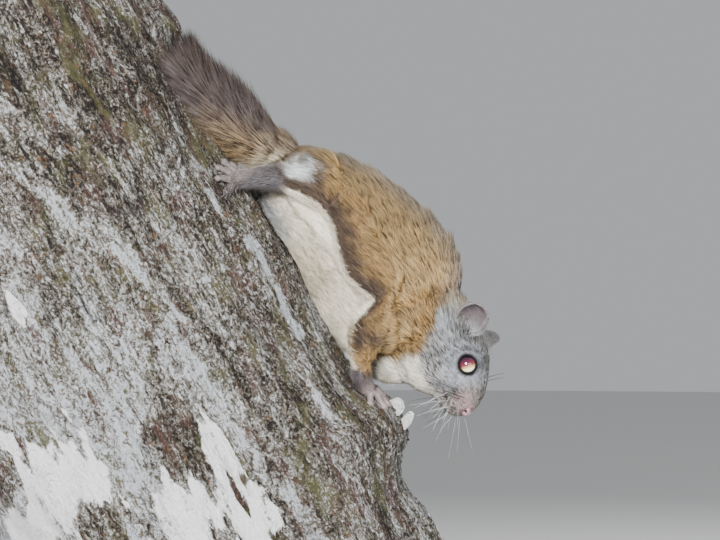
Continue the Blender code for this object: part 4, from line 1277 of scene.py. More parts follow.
def make_rim_coat():
    """Short pale hair along the edge of each skin fold."""
    rng = np.random.default_rng(SEED + 6)
    side = np.where(rng.random(RIM_TUFTS) < 0.5, 1.0, -1.0)
    s = rng.uniform(RIM_FROM, RIM_TO, RIM_TUFTS)
    y = follow(FOLD, s, 3) + rng.normal(0.5, 0.5, RIM_TUFTS)
    h = follow(FOLD, s, 4) + rng.normal(-0.3, 0.4, RIM_TUFTS)
    roots = place_array(s, y * side, h)

    def edge_at(s):
        return place_array(s, follow(FOLD, s, 3) * side, follow(FOLD, s, 4))

    out = np.outer(side, np.array(LEFT))
    back = unit(edge_at(s - 1.0) - edge_at(s))
    ways = unit(back + out * 0.25 + rng.normal(scale=0.16, size=(RIM_TUFTS, 3)))
    normals = unit(out - ways * (out * ways).sum(axis=1, keepdims=True))
    masks = coat_masks(RIM_TUFTS, pale=rng.uniform(0.5, 1.0, RIM_TUFTS), warm=0.8,
                       shade=rng.uniform(0.45, 1.0, RIM_TUFTS))
    lengths = rng.uniform(2.0, 3.4, RIM_TUFTS) * MM
    widths = rng.uniform(0.22, 0.36, RIM_TUFTS) * MM
    tufts = (roots, ways, ways * 0.1, normals, lengths, widths)
    add_coat("coat_rim", "membrane_fur", coat_finish("rim_fur"), tufts, masks, body_chart(roots), 1, rng)


def make_tail_coat():
    """Long soft hair of the tail, combed to both sides of its flat core."""
    rng = np.random.default_rng(SEED + 1)
    count = TAIL_TUFTS
    share = (np.arange(count) + rng.random(count)) / count
    distance = TAIL_FROM + (TAIL_TO - TAIL_FROM) * share
    here, along, across, face, wide, thick = tail_frames(distance)
    turn = rng.uniform(0.0, FULL_TURN, count)
    beside, over = np.cos(turn), np.sin(turn)
    roots = here + across * (beside * wide * CORE_SHARE * 0.8 * MM)[:, None]
    roots += face * (over * thick * CORE_SHARE * 0.8 * MM)[:, None]
    normals = unit(across * (beside / wide)[:, None] + face * (over / thick)[:, None])
    fringe = np.sign(beside) * np.abs(beside) ** 0.7
    under = np.maximum(-over, 0.0) * (1.0 - ramp(distance, 60.0, 76.0))
    rise = (across @ np.array(OUT)) * beside + over * (face @ np.array(OUT)) * 0.5
    upper = ramp(rise, -0.35, 0.45)
    crest = upper * (1.0 - ramp(distance, 66.0, 92.0))
    ways = unit(along * 0.85 + across * (fringe * 0.74)[:, None] + face * (over * 0.34)[:, None]
                + np.outer(crest * 0.42 - under * 1.3, np.array(OUT))
                + comb(roots) * 0.1 + rng.normal(scale=0.07, size=(count, 3)))
    start = ramp(distance, 48.0, 66.0)
    lengths = 13.0 + 9.0 * start * np.abs(fringe) ** 0.5 + 2.0 * start + 3.0 * under + 3.5 * crest
    lengths *= rng.uniform(0.72, 1.1, count) * (0.8 + 0.2 * wide / 20.0)
    bends = (along - ways) * 0.3 + rng.normal(scale=0.03, size=(count, 3))
    gold = (1.0 - upper) * (0.8 - 0.78 * ramp(distance, 58.0, 90.0))
    gold += (1.0 - ramp(distance, 50.0, 62.0)) * (1.0 - 0.7 * upper)
    dark = (0.45 * upper + 0.4 * ramp(distance, 70.0, 100.0)) * rng.random(count)
    tone = 0.3 + 0.24 * ripple(roots / MM, 2.0, 29) + rng.normal(0.0, 0.26, count)
    masks = coat_masks(count, mauve=np.clip(1.0 - gold, 0.0, 0.95), dark=dark,
                       pale=0.9 * (1.0 - ramp(distance, 50.0, 62.0)) * (1.0 - upper),
                       warm=np.clip(gold, 0.08, 0.8), shade=np.clip(tone, 0.0, 1.0))
    widths = rng.uniform(0.26, 0.46, count) * MM
    spots = np.stack((0.6 + share * 0.38, 0.52 + turn / FULL_TURN * 0.2), axis=1)
    tufts = (roots, ways, bends, normals, lengths * MM, widths)
    add_coat("coat_tail", "tail_fur", coat_finish("tail_fur_long", 0.6), tufts, masks, spots, 2, rng)


# Face

SIDES = (("left", 1.0), ("right", -1.0))


def make_eyes():
    wet = eye_finish()
    for side, mirror in SIDES:
        centre, look = eye_frame(mirror)
        bm = bmesh.new()
        bmesh.ops.create_uvsphere(bm, u_segments=56, v_segments=32, radius=EYE_RADIUS * MM,
                                  matrix=Matrix.Translation(centre))
        eye = new_object(f"eyeball_{side}", bm)
        off = (points_of(eye.data) - np.array(centre)) / (EYE_RADIUS * MM)
        ahead = off @ np.array(look)
        aside = np.sqrt(np.maximum(1.0 - ahead ** 2, 0.0))
        ring = np.where(ahead > 0.0, aside, 1.0)
        # rise: how the painted eyeshine runs, from pale yellow below to reddish purple above
        rise = off @ np.array((-0.28, 0.0, 0.96)) / 0.68 + 0.06
        write_masks(eye.data, {"ring": ring, "rise": 0.5 + 0.5 * rise})
        dress(eye, wet, "eye_glass", f"eye_{side}")


LID_PLANE = 2.7
LID_RADIUS = 0.5


def make_lids():
    """Dark rims of the lids, a little longer from corner to corner than they are high."""
    bm = bmesh.new()
    for mirror in (1.0, -1.0):
        centre, look = eye_frame(mirror)
        corner = (HEAD_NOSE - look * look.dot(HEAD_NOSE)).normalized()
        lift = look.cross(corner)
        radius = math.sqrt((EYE_RADIUS + 0.15) ** 2 - LID_PLANE ** 2)
        middle = centre + look * LID_PLANE * MM
        made = bmesh.ops.create_circle(bm, segments=10, radius=LID_RADIUS * MM,
                                       matrix=ring_frame(middle + corner * radius * MM, corner, look))
        edges = list({edge for vert in made["verts"] for edge in vert.link_edges})
        made = bmesh.ops.spin(bm, geom=made["verts"] + edges, cent=middle, axis=look, steps=48,
                              angle=FULL_TURN, use_merge=True)
        ring = [vert for vert in bm.verts if (vert.co - middle).length < 9.0 * MM]
        for vert in ring:
            off = vert.co - middle
            reach = off.dot(corner) / (radius * MM)
            vert.co += corner * off.dot(corner) * 0.07 - lift * off.dot(lift) * 0.05 * abs(reach)
    bmesh.ops.remove_doubles(bm, verts=bm.verts[:], dist=1e-6)
    lids = closed_object("eyelids", bm)
    write_masks(lids.data, {"blush": 0.0, "mauve": 0.0, "soot": 0.95})
    dress(lids, skin_finish("lid_skin", (12, 9, 11), (7, 5, 6), (40, 26, 30), 0.12), "head_fur")


def make_nose():
    """Pink pad with two lobes, a groove between them and a comma of a nostril each side."""
    bm = bmesh.new()
    for mirror in (1.0, -1.0):
        for place in NOSE_LOBES:
            if mirror > 0.0 or place[1] > 0.0:
                add_ball(bm, on_head(place, mirror), (1.5 * MM,) * 3)
    add_ball(bm, on_head((25.0, 0.0, -3.8)), (2.3 * MM,) * 3)
    nose = fused("nose_pad", bm, 0.16, 8)
    holes = bmesh.new()
    for mirror in (1.0, -1.0):
        axes = [head_turn(axis, mirror).normalized() for axis in ((1, 0.5, 0), (-0.5, 1, 0), (0, 0, 1))]
        add_ball(holes, on_head(NOSTRIL, mirror), (1.0 * MM, 0.34 * MM, 0.55 * MM), axes)
    cut(nose, holes)
    points = points_of(nose.data)
    # The nostrils are painted near black: painted shade inside the holes
    dark = np.zeros(len(points))
    for mirror in (1.0, -1.0):
        reach = np.linalg.norm(points - np.array(on_head(NOSTRIL, mirror)), axis=1) / MM
        dark = np.maximum(dark, 1.0 - ramp(reach, 0.6, 1.0))
    write_masks(nose.data, {"blush": 0.4, "mauve": 0.0, "soot": dark * 0.9})
    nose.data.shade_smooth()
    bare = skin_finish("nose_skin", (184, 152, 156), (146, 118, 124), (190, 146, 150), 0.3)
    dress(nose, bare, "foot_skin")


def make_mouth(skin):
    """Thin dark line of the closed mouth, sunk in the skin."""
    whole = [(f, -side, up) for f, side, up in reversed(MOUTH[1:])] + list(MOUTH)
    bm = bmesh.new()
    spots = []
    for point in whole:
        _, spot, normal, _ = skin.closest_point_on_mesh(on_head(point))
        spots.append(spot - normal * 0.12 * MM)
    shares = (0.4, 0.8, 1.0, 1.0, 1.0, 1.0, 1.0, 0.8, 0.4)
    sections = []
    for i, spot in enumerate(spots):
        run = (spots[min(i + 1, len(spots) - 1)] - spots[max(i - 1, 0)]).normalized()
        across = run.cross(HEAD_CROWN).normalized() * 0.42 * MM * shares[i]
        sections.append((spot, across, run.cross(across)))
    add_loft(bm, sections, 8)
    mouth = closed_object("mouth_line", bm)
    write_masks(mouth.data, {"blush": 0.0, "mauve": 0.0, "soot": 0.0})
    dress(mouth, skin_finish("lip_skin", (72, 46, 44), (50, 32, 32), (92, 52, 50)), "head_fur")


def ear_frame(mirror):
    lean = head_turn(EAR_LEAN.normalized(), mirror).normalized()
    face = head_turn(EAR_OPEN.normalized(), mirror)
    face = (face - lean * face.dot(lean)).normalized()
    centre = on_head(EAR_AT, mirror) + lean * (EAR_LENGTH / 2.0 - 2.8) * MM
    return centre, face, lean.cross(face), lean


def make_ears():
    """Thin cups, open to the front and side, with short hair outside and a pink hollow."""
    rng = np.random.default_rng(SEED + 2)
    bare = skin_finish("ear_skin", (114, 103, 106), (76, 68, 73), (180, 156, 160))
    fur = coat_finish("ear_fur")
    for side, mirror in SIDES:
        centre, face, across, lean = ear_frame(mirror)
        axes = (face, across, lean)
        half = Vector((EAR_DEPTH, EAR_WIDTH, EAR_LENGTH)) / 2.0
        outer = bmesh.new()
        add_ball(outer, centre, half * MM, axes, 5)
        ear = new_object(f"ear_cup_{side}", outer)
        inner = bmesh.new()
        hollow = Vector((half[0] * 1.25, half[1] - EAR_WALL, half[2] - EAR_WALL))
        shift = half[0] * 0.25 + EAR_WALL * 1.1
        add_ball(inner, centre + (face * shift + lean * 0.9) * MM, hollow * MM, axes, 5)
        cut(ear, inner)
        fuse(ear, 0.26, 6)
        ear.data.shade_smooth()
        points = points_of(ear.data)
        normals = points_of(ear.data, normals=True)
        off = (points - np.array(centre)) / MM
        height = off @ np.array(lean) / half[2]
        inside = ramp(normals @ np.array(face), 0.0, 0.5)
        write_masks(ear.data, {
            "blush": inside * (0.08 + 0.6 * (1.0 - ramp(height, -0.9, -0.1))),
            "mauve": 0.15 + 0.2 * ramp(height, 0.2, 0.9),
            "soot": 0.0,
            "rim": 1.0 - ramp(np.abs(normals @ np.array(face) - 0.05), 0.2, 0.7),
        })
        dress(ear, bare, "ear_skin", f"ear_{side}")
        roots, turned = surface_roots(ear, EAR_TUFTS, lambda spots: 1.0, rng)
        off = (roots - np.array(centre)) / MM
        height = off @ np.array(lean) / half[2]
        open_side = turned @ np.array(face)
        hair_share = 0.12 + 0.8 * (1.0 - ramp(height, -0.75, -0.15))
        keep = ~((open_side > 0.25) & (rng.random(EAR_TUFTS) > hair_share))
        roots, turned, height = roots[keep], turned[keep], height[keep]
        count = len(roots)
        lie = np.array(lean) + 0.3 * (roots - np.array(centre)) / (9.0 * MM)
        ways, flat = lay(lie, turned, 0.3, rng)
        lengths = (1.1 + 2.4 * (1.0 - ramp(height, -0.9, 0.0))) * rng.uniform(0.7, 1.3, count) * MM
        masks = coat_masks(count, grey=0.8, mauve=0.5, blue=0.2, shade=0.3 + 0.7 * rng.random(count),
                           white=0.45 * (1.0 - ramp(height, -0.9, -0.3)))
        turn = np.arctan2(off[keep] @ np.array(across), off[keep] @ np.array(face)) / FULL_TURN + 0.5
        low = 0.74 if mirror > 0.0 else 0.87
        spots = np.stack((0.6 + (height + 1.0) * 0.18, low + turn * 0.12), axis=1)
        tufts = (roots, ways, flat * 0.1, turned, lengths, rng.uniform(0.16, 0.3, count) * MM)
        dress(add_tufts(f"coat_ear_{side}", tufts, masks, spots, 1), fur, "ear_skin")


# Whiskers, in the head frame, left side: root, direction, length
WHISKERS = (
    ((22.0, 6.4, -3.0), (-0.34, 0.80, -0.62), 22.0), ((20.4, 7.4, -3.4), (-0.38, 0.82, -0.62), 25.0),
    ((18.8, 8.0, -3.8), (-0.44, 0.82, -0.60), 27.0), ((22.2, 6.4, -4.8), (-0.28, 0.80, -0.72), 24.0),
    ((20.6, 7.6, -5.2), (-0.32, 0.80, -0.74), 29.0), ((19.0, 8.4, -5.6), (-0.36, 0.80, -0.72), 31.0),
    ((17.4, 8.8, -5.8), (-0.42, 0.80, -0.70), 27.0), ((22.4, 5.6, -6.8), (0.76, 0.52, -0.14), 19.0),
    ((20.8, 6.8, -7.2), (0.74, 0.50, -0.32), 23.0), ((19.2, 7.6, -7.6), (0.66, 0.54, -0.44), 26.0),
    ((17.6, 8.0, -7.8), (0.30, 0.60, -0.70), 24.0), ((22.6, 4.8, -8.6), (0.10, 0.66, -0.86), 17.0),
    ((21.0, 6.0, -9.0), (0.00, 0.66, -0.92), 19.0), ((19.4, 6.8, -9.2), (-0.16, 0.64, -0.94), 18.0),
    ((23.4, 3.4, -11.4), (0.80, 0.40, -0.50), 9.0), ((21.6, 4.2, -13.0), (0.66, 0.44, -0.66), 10.0),
    ((19.2, 4.8, -14.0), (0.52, 0.46, -0.76), 11.0), ((16.6, 5.4, -14.6), (0.40, 0.46, -0.82), 9.0),
    ((12.6, 9.0, 9.0), (-0.20, 0.72, 0.74), 13.0), ((10.8, 9.4, 9.6), (-0.34, 0.72, 0.74), 15.0),
    ((2.0, 13.6, -6.0), (-0.46, 0.82, -0.36), 13.0),
)
WHISKER_WIDTH = 0.26
WHISKER_RINGS = 9


def make_whiskers(skin):
    """Tapered bristles of the pads, chin, brows and cheeks."""
    rng = np.random.default_rng(SEED + 3)
    roots, ways, lengths = [], [], []
    for mirror in (1.0, -1.0):
        for place, way, length in WHISKERS:
            _, spot, _, _ = skin.closest_point_on_mesh(on_head(place, mirror))
            roots.append(spot)
            ways.append(head_turn(way, mirror).normalized())
            lengths.append(length * rng.uniform(0.9, 1.1))
    count = len(roots)
    ways = unit(np.array(ways) + rng.normal(scale=0.05, size=(count, 3)))
    droop = np.array((0.0, 0.0, -0.14)) - np.array(HEAD_NOSE) * 0.1
    bends = droop + rng.normal(scale=0.05, size=(count, 3))
    normals = np.repeat(np.array(HEAD_CROWN)[None], count, axis=0)
    pale = np.array([way[0] > -0.05 for _, way, _ in WHISKERS] * 2)
    masks = coat_masks(count, white=pale * 0.9, soot=~pale * 1.0, shade=0.6)
    spots = np.stack((0.62 + rng.random(count) * 0.3, 0.47 + rng.random(count) * 0.03), axis=1)
    tufts = (np.array(roots), ways, bends, normals, np.array(lengths) * MM,
             np.where(pale, WHISKER_WIDTH, WHISKER_WIDTH * 1.4) * MM)
    made = add_tufts("whiskers", tufts, masks, spots, WHISKER_RINGS)
    dress(made, coat_finish("whisker_bristle", 0.4), "head_fur")


# Feet

FOOT_VOXEL = 0.3
FOOT_FACES = 60000
CLAW_LENGTH = 3.0
CLAW_RADIUS = 0.62


def foot_plan():
    """Each foot: mirror, palm points and radii, then each toe's start, knuckle and tip."""
    made = []
    for palm, toes in ((FORE_PALM, FORE_TOES), (HIND_PALM, HIND_TOES)):
        for mirror in (1.0, -1.0):
            line = [over_bark(s, y, lift, mirror) for s, y, lift, _ in palm]
            root_s, root_y = palm[-1][:2]
            rays = []
            for s, y in toes:
                knuckle_s = root_s + (s - root_s) * 0.5
                knuckle_y = root_y + (y - root_y) * 0.62
                rays.append((over_bark(root_s, root_y, TOE_RADII[0] + 0.6, mirror),
                             over_bark(knuckle_s, knuckle_y, TOE_RADII[1] + TOE_ARCH, mirror),
                             over_bark(s, y, TOE_RADII[2] * 0.8, mirror)))
            made.append((line, [row[-1] for row in palm], rays))
    return made


def make_feet():
    """Bare toes with pads and creases under a thin coat, and a claw for each."""
    rng = np.random.default_rng(SEED + 4)
    plan = foot_plan()
    bm = bmesh.new()
    for line, radii, rays in plan:
        add_limb(bm, line, [radius * 0.93 * MM for radius in radii])
        for start, knuckle, tip in rays:
            add_limb(bm, (start, knuckle, tip), [1.5 * MM, 1.3 * MM, 1.05 * MM], 12)
            add_ball(bm, tip - OUT * 0.1 * MM, (1.5 * MM,) * 3)
            add_ball(bm, knuckle, (1.62 * MM,) * 3)
    feet = fused("feet", bm, FOOT_VOXEL, 4, FOOT_FACES)
    points = points_of(feet.data)
    s, _, _ = body_places(points)
    hairy = np.where(s < 0.0, 1.0 - ramp(-s, 47.0, 53.0), 1.0 - ramp(s, 54.0, 60.0))
    tips = np.zeros(len(points))
    for _, _, rays in plan:
        for _, _, tip in rays:
            reach = np.linalg.norm(points - np.array(tip), axis=1) / MM
            tips = np.maximum(tips, 1.0 - ramp(reach, 1.0, 4.0))
    hind = np.where(s < 0.0, 1.0, 0.0)
    write_masks(feet.data, {"blush": (0.35 + 0.45 * tips) * (1.0 - 0.6 * hind),
                            "mauve": np.maximum(hairy * 0.7, hind * 0.34), "soot": 0.0})
    bare = skin_finish("foot_skin", (144, 134, 133), (104, 94, 95), (172, 152, 150), 0.3)
    dress(feet, bare, "foot_skin", "forefoot_left", "forefoot_right", "hindfoot_left", "hindfoot_right")
    make_foot_hair(feet, plan, rng)
    make_claws(plan)


def make_foot_hair(feet, plan, rng):
    """Short hair that runs down each foot and thins out along the toes."""
    roots, normals = surface_roots(feet, FOOT_TUFTS, above_foot_bark, rng)
    way = np.zeros((FOOT_TUFTS, 3))
    best = np.full(FOOT_TUFTS, 1e9)
    for line, radii, rays in plan:
        lines = [([np.array(point) for point in line], radii)]
        lines += [([np.array(point) for point in ray], TOE_RADII) for ray in rays]
        for path, sizes in lines:
            gap, run = near_line(roots, path, sizes)
            closer = gap < best
            best[closer] = gap[closer]
            way[closer] = run[closer]
    s, _, _ = body_places(roots)
    hairy = np.where(s < 0.0, 1.0 - ramp(-s, 46.0, 56.0), 1.0 - ramp(s, 53.0, 62.0))
    keep = rng.random(FOOT_TUFTS) < 0.75 + 0.25 * hairy
    roots, normals, way, hairy = roots[keep], normals[keep], way[keep], hairy[keep]
    count = len(roots)
    ways, flat = lay(way, normals, 0.25 + 0.2 * hairy, rng)
    lengths = (1.5 + 3.2 * hairy) * rng.uniform(0.7, 1.25, count) * MM
    fore = body_places(roots)[0] >= 0.0
    masks = coat_masks(count, grey=0.8, mauve=np.clip(hairy * 1.1, 0.0, 1.0), white=(1.0 - hairy) * 0.08,
                       blush=(1.0 - hairy) * 0.14 + fore * 0.12, shade=0.25 + 0.75 * rng.random(count))
    tufts = (roots, ways, flat * 0.1, normals, lengths, rng.uniform(0.18, 0.34, count) * MM)
    piece = add_tufts("coat_feet", tufts, masks, body_chart(roots), 1)
    dress(piece, coat_finish("foot_fur"), "foot_skin")


def above_foot_bark(points):
    """More hair on top of the feet than under them."""
    _, y, h = body_places(points)
    return ramp(np.hypot(y, h + TRUNK_RADIUS) - TRUNK_RADIUS, 0.6, 2.2)


def make_claws(plan):
    """A curved, pointed claw before each toe."""
    bm = bmesh.new()
    for _, _, rays in plan:
        for _, knuckle, tip in rays:
            along = (tip - knuckle).normalized()
            start = tip + OUT * 0.7 * MM
            across = along.cross(OUT).normalized()
            sections = []
            for i in range(6):
                t = i / 5.0
                place = start + (along * (0.4 + CLAW_LENGTH * t) + OUT * (0.9 * t - 2.3 * t * t)) * MM
                size = CLAW_RADIUS * (1.0 - 0.86 * t)
                sections.append((place, across * size * 0.7 * MM, OUT * size * MM))
            add_loft(bm, sections, 8)
    claws = closed_object("claws", bm)
    points = points_of(claws.data)
    reach = np.full(len(points), 1e9)
    for _, _, rays in plan:
        for _, _, tip in rays:
            reach = np.minimum(reach, np.linalg.norm(points - np.array(tip), axis=1) / MM)
    write_masks(claws.data, {"along": ramp(reach, 1.0, 3.2)})
    dress(claws, horn_finish(), "foot_skin")


# Trunk

# Rings of each sawn end, as shares of the trunk's radius
END_SHARES = (0.97, 0.8, 0.55, 0.3, 0.1)
TRUNK_ROWS = 300
NEAR_COLUMNS = 204
FAR_COLUMNS = 96
NEAR_FROM = math.radians(-150.0)
NEAR_TO = math.radians(28.0)
PLATE_LONG = 26.0
PLATE_WIDE = 5.0
CRUMB_COUNT = 2600
# Bright bark on the near side: middle X and Z in the world frame, half length down the trunk, half width
WHITE_PATCHES = (
    (-136.0, -102.0, 30.0, 20.0), (-163.7, -79.0, 7.0, 5.0), (-80.0, -114.0, 21.0, 18.0),
    (-50.0, -116.0, 20.0, 12.0), (-64.0, -84.0, 21.0, 7.0), (-160.0, -20.0, 10.0, 4.0),
    (-150.0, -120.0, 19.0, 16.0),
)
# Darker bark that breaks into it
BROWN_PATCHES = (
    (-121.0, -118.0, 11.0, 12.0), (-84.6, -82.0, 18.0, 12.0), (-165.5, -95.0, 17.0, 7.0),
    (-57.0, -104.0, 14.0, 1.8),
)
# Distance from which these places are seen
VIEW_FROM = 1200.0
# Pale streaks along the trunk: first X and Z, last X and Z, half width, strength
PALE_STREAKS = (
    (-167.0, 52.0, -95.0, -8.0, 4.0, 0.62), (-95.0, -8.0, -70.0, -38.0, 2.4, 0.4),
    (-118.0, 50.0, -92.0, 14.0, 1.6, 0.5), (-71.0, 37.0, -59.5, 15.0, 1.5, 0.85),
    (-51.0, 14.0, -29.0, -30.0, 2.2, 0.95), (-80.0, 48.0, -60.0, 44.0, 3.5, 0.5),
    (-90.0, -40.0, -52.0, -86.0, 4.5, 0.6), (-52.0, -86.0, -16.0, -126.0, 3.6, 0.7),
    (-75.0, -5.0, -67.0, -3.0, 1.3, 0.7), (-4.0, -45.0, 12.0, -68.0, 3.4, 0.5),
    (-160.0, -18.0, -120.0, -75.0, 9.0, 0.6), (-150.0, 20.0, -118.0, -30.0, 4.0, 0.45),
    (-92.0, -26.0, -70.0, -56.0, 4.0, 0.75), (-36.0, -100.0, -12.0, -138.0, 3.0, 0.7),
    (-165.0, 78.0, -140.0, 52.0, 3.0, 0.45),
    (-134.0, 118.0, -108.0, 94.0, 3.0, 0.7), (-112.0, 126.0, -95.0, 108.0, 2.2, 0.55),
)


def cells(places, long, wide, seed):
    """Nearest and next nearest of scattered centres: both distances, the centre's number, the count."""
    rng = np.random.default_rng(seed)
    stretch = np.array((1.0 / long, 1.0 / wide, 1.0 / wide))
    low, high = places.min(axis=0), places.max(axis=0)
    count = int((high[0] - low[0]) * FULL_TURN * TRUNK_RADIUS / (long * wide))
    turn = rng.uniform(0.0, FULL_TURN, count)
    centres = np.stack((rng.uniform(low[0], high[0], count), np.cos(turn) * TRUNK_RADIUS,
                        np.sin(turn) * TRUNK_RADIUS), axis=1)
    tree = KDTree(count)
    for i, centre in enumerate(centres * stretch):
        tree.insert(centre, i)
    tree.balance()
    found = np.array([(a[2], b[2], a[1]) for a, b in
                      (tree.find_n(place, 2) for place in places * stretch)])
    return found[:, 0], found[:, 1], found[:, 2].astype(int), count


def trunk_relief(s, turn):
    """Height of scales, ledges and fissures over the plain bark, with the masks that colour them."""
    places = np.stack((s, np.cos(turn) * TRUNK_RADIUS, np.sin(turn) * TRUNK_RADIUS), axis=1)
    warp = np.stack([ripple(places, 30.0, seed) for seed in (31, 32, 33)], axis=1)
    bent = places + warp * np.array((7.0, 2.6, 2.6))
    rng = np.random.default_rng(41)
    first, second, number, count = cells(bent, PLATE_LONG, PLATE_WIDE, 42)
    open_here = ramp(ripple(places * np.array((0.4, 1.0, 1.0)), 20.0, 44), 0.7, 1.5)
    crack = (1.0 - ramp(second - first, 0.02, 0.12)) * open_here
    lift = rng.uniform(-0.45, 0.45, count)[number]
    along = np.array((0.16, 1.0, 1.0))
    ledge = 1.0 - np.abs(ripple(bent * along, 11.0, 34, 16))
    ledge = np.clip(ledge, -0.6, 1.0) * 0.55
    fine = (1.0 - np.abs(ripple(bent * np.array((0.3, 1.0, 1.0)), 4.6, 37, 20))) * 0.32
    grit = ripple(places * np.array((0.6, 1.0, 1.0)), 2.6, 35, 24) * 0.24
    relief = lift + ledge + fine + grit - crack * 0.9 - 0.3
    plate = rng.random(count)[number]
    return relief, np.clip(crack, 0.0, 1.0), plate


def patches(flat, table, rough):
    """1 inside any of the ragged ovals of a table, over places X and Z."""
    found = np.zeros(len(flat))
    for x, z, long, wide in table:
        off = flat - np.array((x, z))
        down = off[:, 0] * CLING.x + off[:, 1] * CLING.z
        across = off[:, 0] * CLING.z - off[:, 1] * CLING.x
        reach = np.hypot(down / long, across / wide)
        found = np.maximum(found, 1.0 - ramp(reach + rough, 0.55, 1.35))
    return found


def pale_masks(points, s, turn):
    """White bark and pale streaks: as seen on the near side, scattered patches on the far side."""
    _, y, _ = body_places(points)
    flat = np.stack((points[:, 0] / MM + ORIGIN.x, points[:, 2] / MM + ORIGIN.z), axis=1)
    flat *= (VIEW_FROM / (VIEW_FROM + y))[:, None]
    near = ramp(-y, -2.0, 10.0)
    down = flat @ np.array((CLING.x, CLING.z))
    fibres = np.stack((down * 0.3, flat @ np.array((CLING.z, -CLING.x))), axis=1)
    rough = ripple(fibres, 12.0, 51, 16) * 0.2 + ripple(fibres, 4.0, 52, 16) * 0.16
    white = patches(flat, WHITE_PATCHES, rough) * (1.0 - patches(flat, BROWN_PATCHES, -rough))
    streak = np.zeros(len(flat))
    for x0, z0, x1, z1, half, strength in PALE_STREAKS:
        run = np.array((x1 - x0, z1 - z0))
        off = flat - np.array((x0, z0))
        share = np.clip(off @ run / (run @ run), 0.0, 1.0)
        gap = np.linalg.norm(off - share[:, None] * run, axis=1) / half
        streak = np.maximum(streak, strength * (1.0 - ramp(gap + rough * 2.2, 0.4, 1.3)))
    haze = 0.62 * ramp(-flat[:, 1] - 4.0 + rough * 60.0, 0.0, 46.0) * ramp(-flat[:, 0] - 60.0, 0.0, 50.0)
    around = np.stack((s * 0.4, np.cos(turn) * TRUNK_RADIUS, np.sin(turn) * TRUNK_RADIUS), axis=1)
    spots = ripple(around, 34.0, 55) + ripple(around, 12.0, 56) * 0.6
    far_white = ramp(ripple(around, 70.0, 57) + rough * 1.6, 1.0, 1.5)
    white = near * white + (1.0 - near) * far_white
    pale = np.maximum(near * np.maximum(streak, haze), ramp(spots, 0.7, 2.0) * 0.6)
    shadow = ramp(flat[:, 1] + rough * 40.0, 20.0, 90.0) * 0.3 + patches(flat, BROWN_PATCHES, rough) * 0.8
    return white, np.clip(pale - near * shadow, -0.4, 1.0)


def trunk_turns():
    """Turns of the columns, closer together on the near side, once round from the seam behind."""
    near = np.linspace(NEAR_FROM, NEAR_TO, NEAR_COLUMNS, endpoint=False)
    far = np.linspace(NEAR_TO, NEAR_FROM + FULL_TURN, FAR_COLUMNS + 1)
    return np.concatenate((near, far))


def foot_clearance(s, y):
    """0 under the feet and 1 away from them, so that no scale stands through a toe."""
    clear = np.ones(len(s))
    for s_foot, y_foot in ((62.0, 24.0), (62.0, -24.0), (-53.0, 34.0), (-53.0, -34.0)):
        clear = np.minimum(clear, ramp(np.hypot(s - s_foot, y - y_foot), 9.0, 16.0))
    return clear


def wrapped(turn):
    return (turn + math.pi) % FULL_TURN - math.pi


def trunk_places(s, turn, relief):
    """Points on the bark for arrays of places along and round the trunk."""
    plain = np.array([bark_height(a, b) for a, b in zip(s, wrapped(turn))])
    radius = TRUNK_RADIUS + plain
    clear = foot_clearance(s, radius * np.sin(turn))
    radius += np.minimum(relief, 0.0) * 0.5 * (1.0 - clear) + relief * clear - 0.2
    return place_array(s, radius * np.sin(turn), radius * np.cos(turn) - TRUNK_RADIUS)


def chart_bark(mesh, s, turn):
    """UV of the bark in units of 100 mm: along the trunk and round it."""
    layer = mesh.uv_layers.new(name="Bark")
    corners = np.empty(len(mesh.loops), np.int32)
    mesh.loops.foreach_get("vertex_index", corners)
    spots = np.stack((s / 100.0, turn * TRUNK_RADIUS / 100.0), axis=1)[corners]
    layer.uv.foreach_set("vector", spots.astype(np.float32).ravel())


def make_trunk():
    """The trunk with its scales and sawn ends. Returns the finish of its bark."""
    bm = bmesh.new()
    turns = trunk_turns()
    bmesh.ops.create_grid(bm, x_segments=TRUNK_ROWS, y_segments=len(turns) - 1, size=0.5)
    trunk = new_object("trunk_bark", bm)
    flat = points_of(trunk.data)
    where = np.rint((flat[:, 1] + 0.5) * (len(turns) - 1)).astype(int)
    s = TRUNK_UPPER + (TRUNK_LOWER - TRUNK_UPPER) * (flat[:, 0] + 0.5)
    turn = turns[where]
    joined = np.where(where == len(turns) - 1, turns[0], turn)
    relief, crack, plate = trunk_relief(s, joined)
    sawn = np.minimum(ramp(s, TRUNK_UPPER, TRUNK_UPPER + 4.0), 1.0 - ramp(s, TRUNK_LOWER - 4.0, TRUNK_LOWER))
    plain = trunk_places(s, joined, relief * 0.0)
    white, pale = pale_masks(plain, s, joined)
    relief = relief * (1.0 - white * 0.6) + white * 0.25
    move_points(trunk.data, trunk_places(s, joined, relief * (0.3 + 0.7 * sawn)))
    write_masks(trunk.data, {"crack": crack * (1.0 - white * 0.5), "plate": plate, "white": white,
                             "pale": pale})
    chart_bark(trunk.data, s, turn)
    close_trunk(trunk)
    bark = bark_finish()
    dress(trunk, bark, "bark", "perch_trunk")
    trunk.data.materials.append(sawn_finish())
    return bark


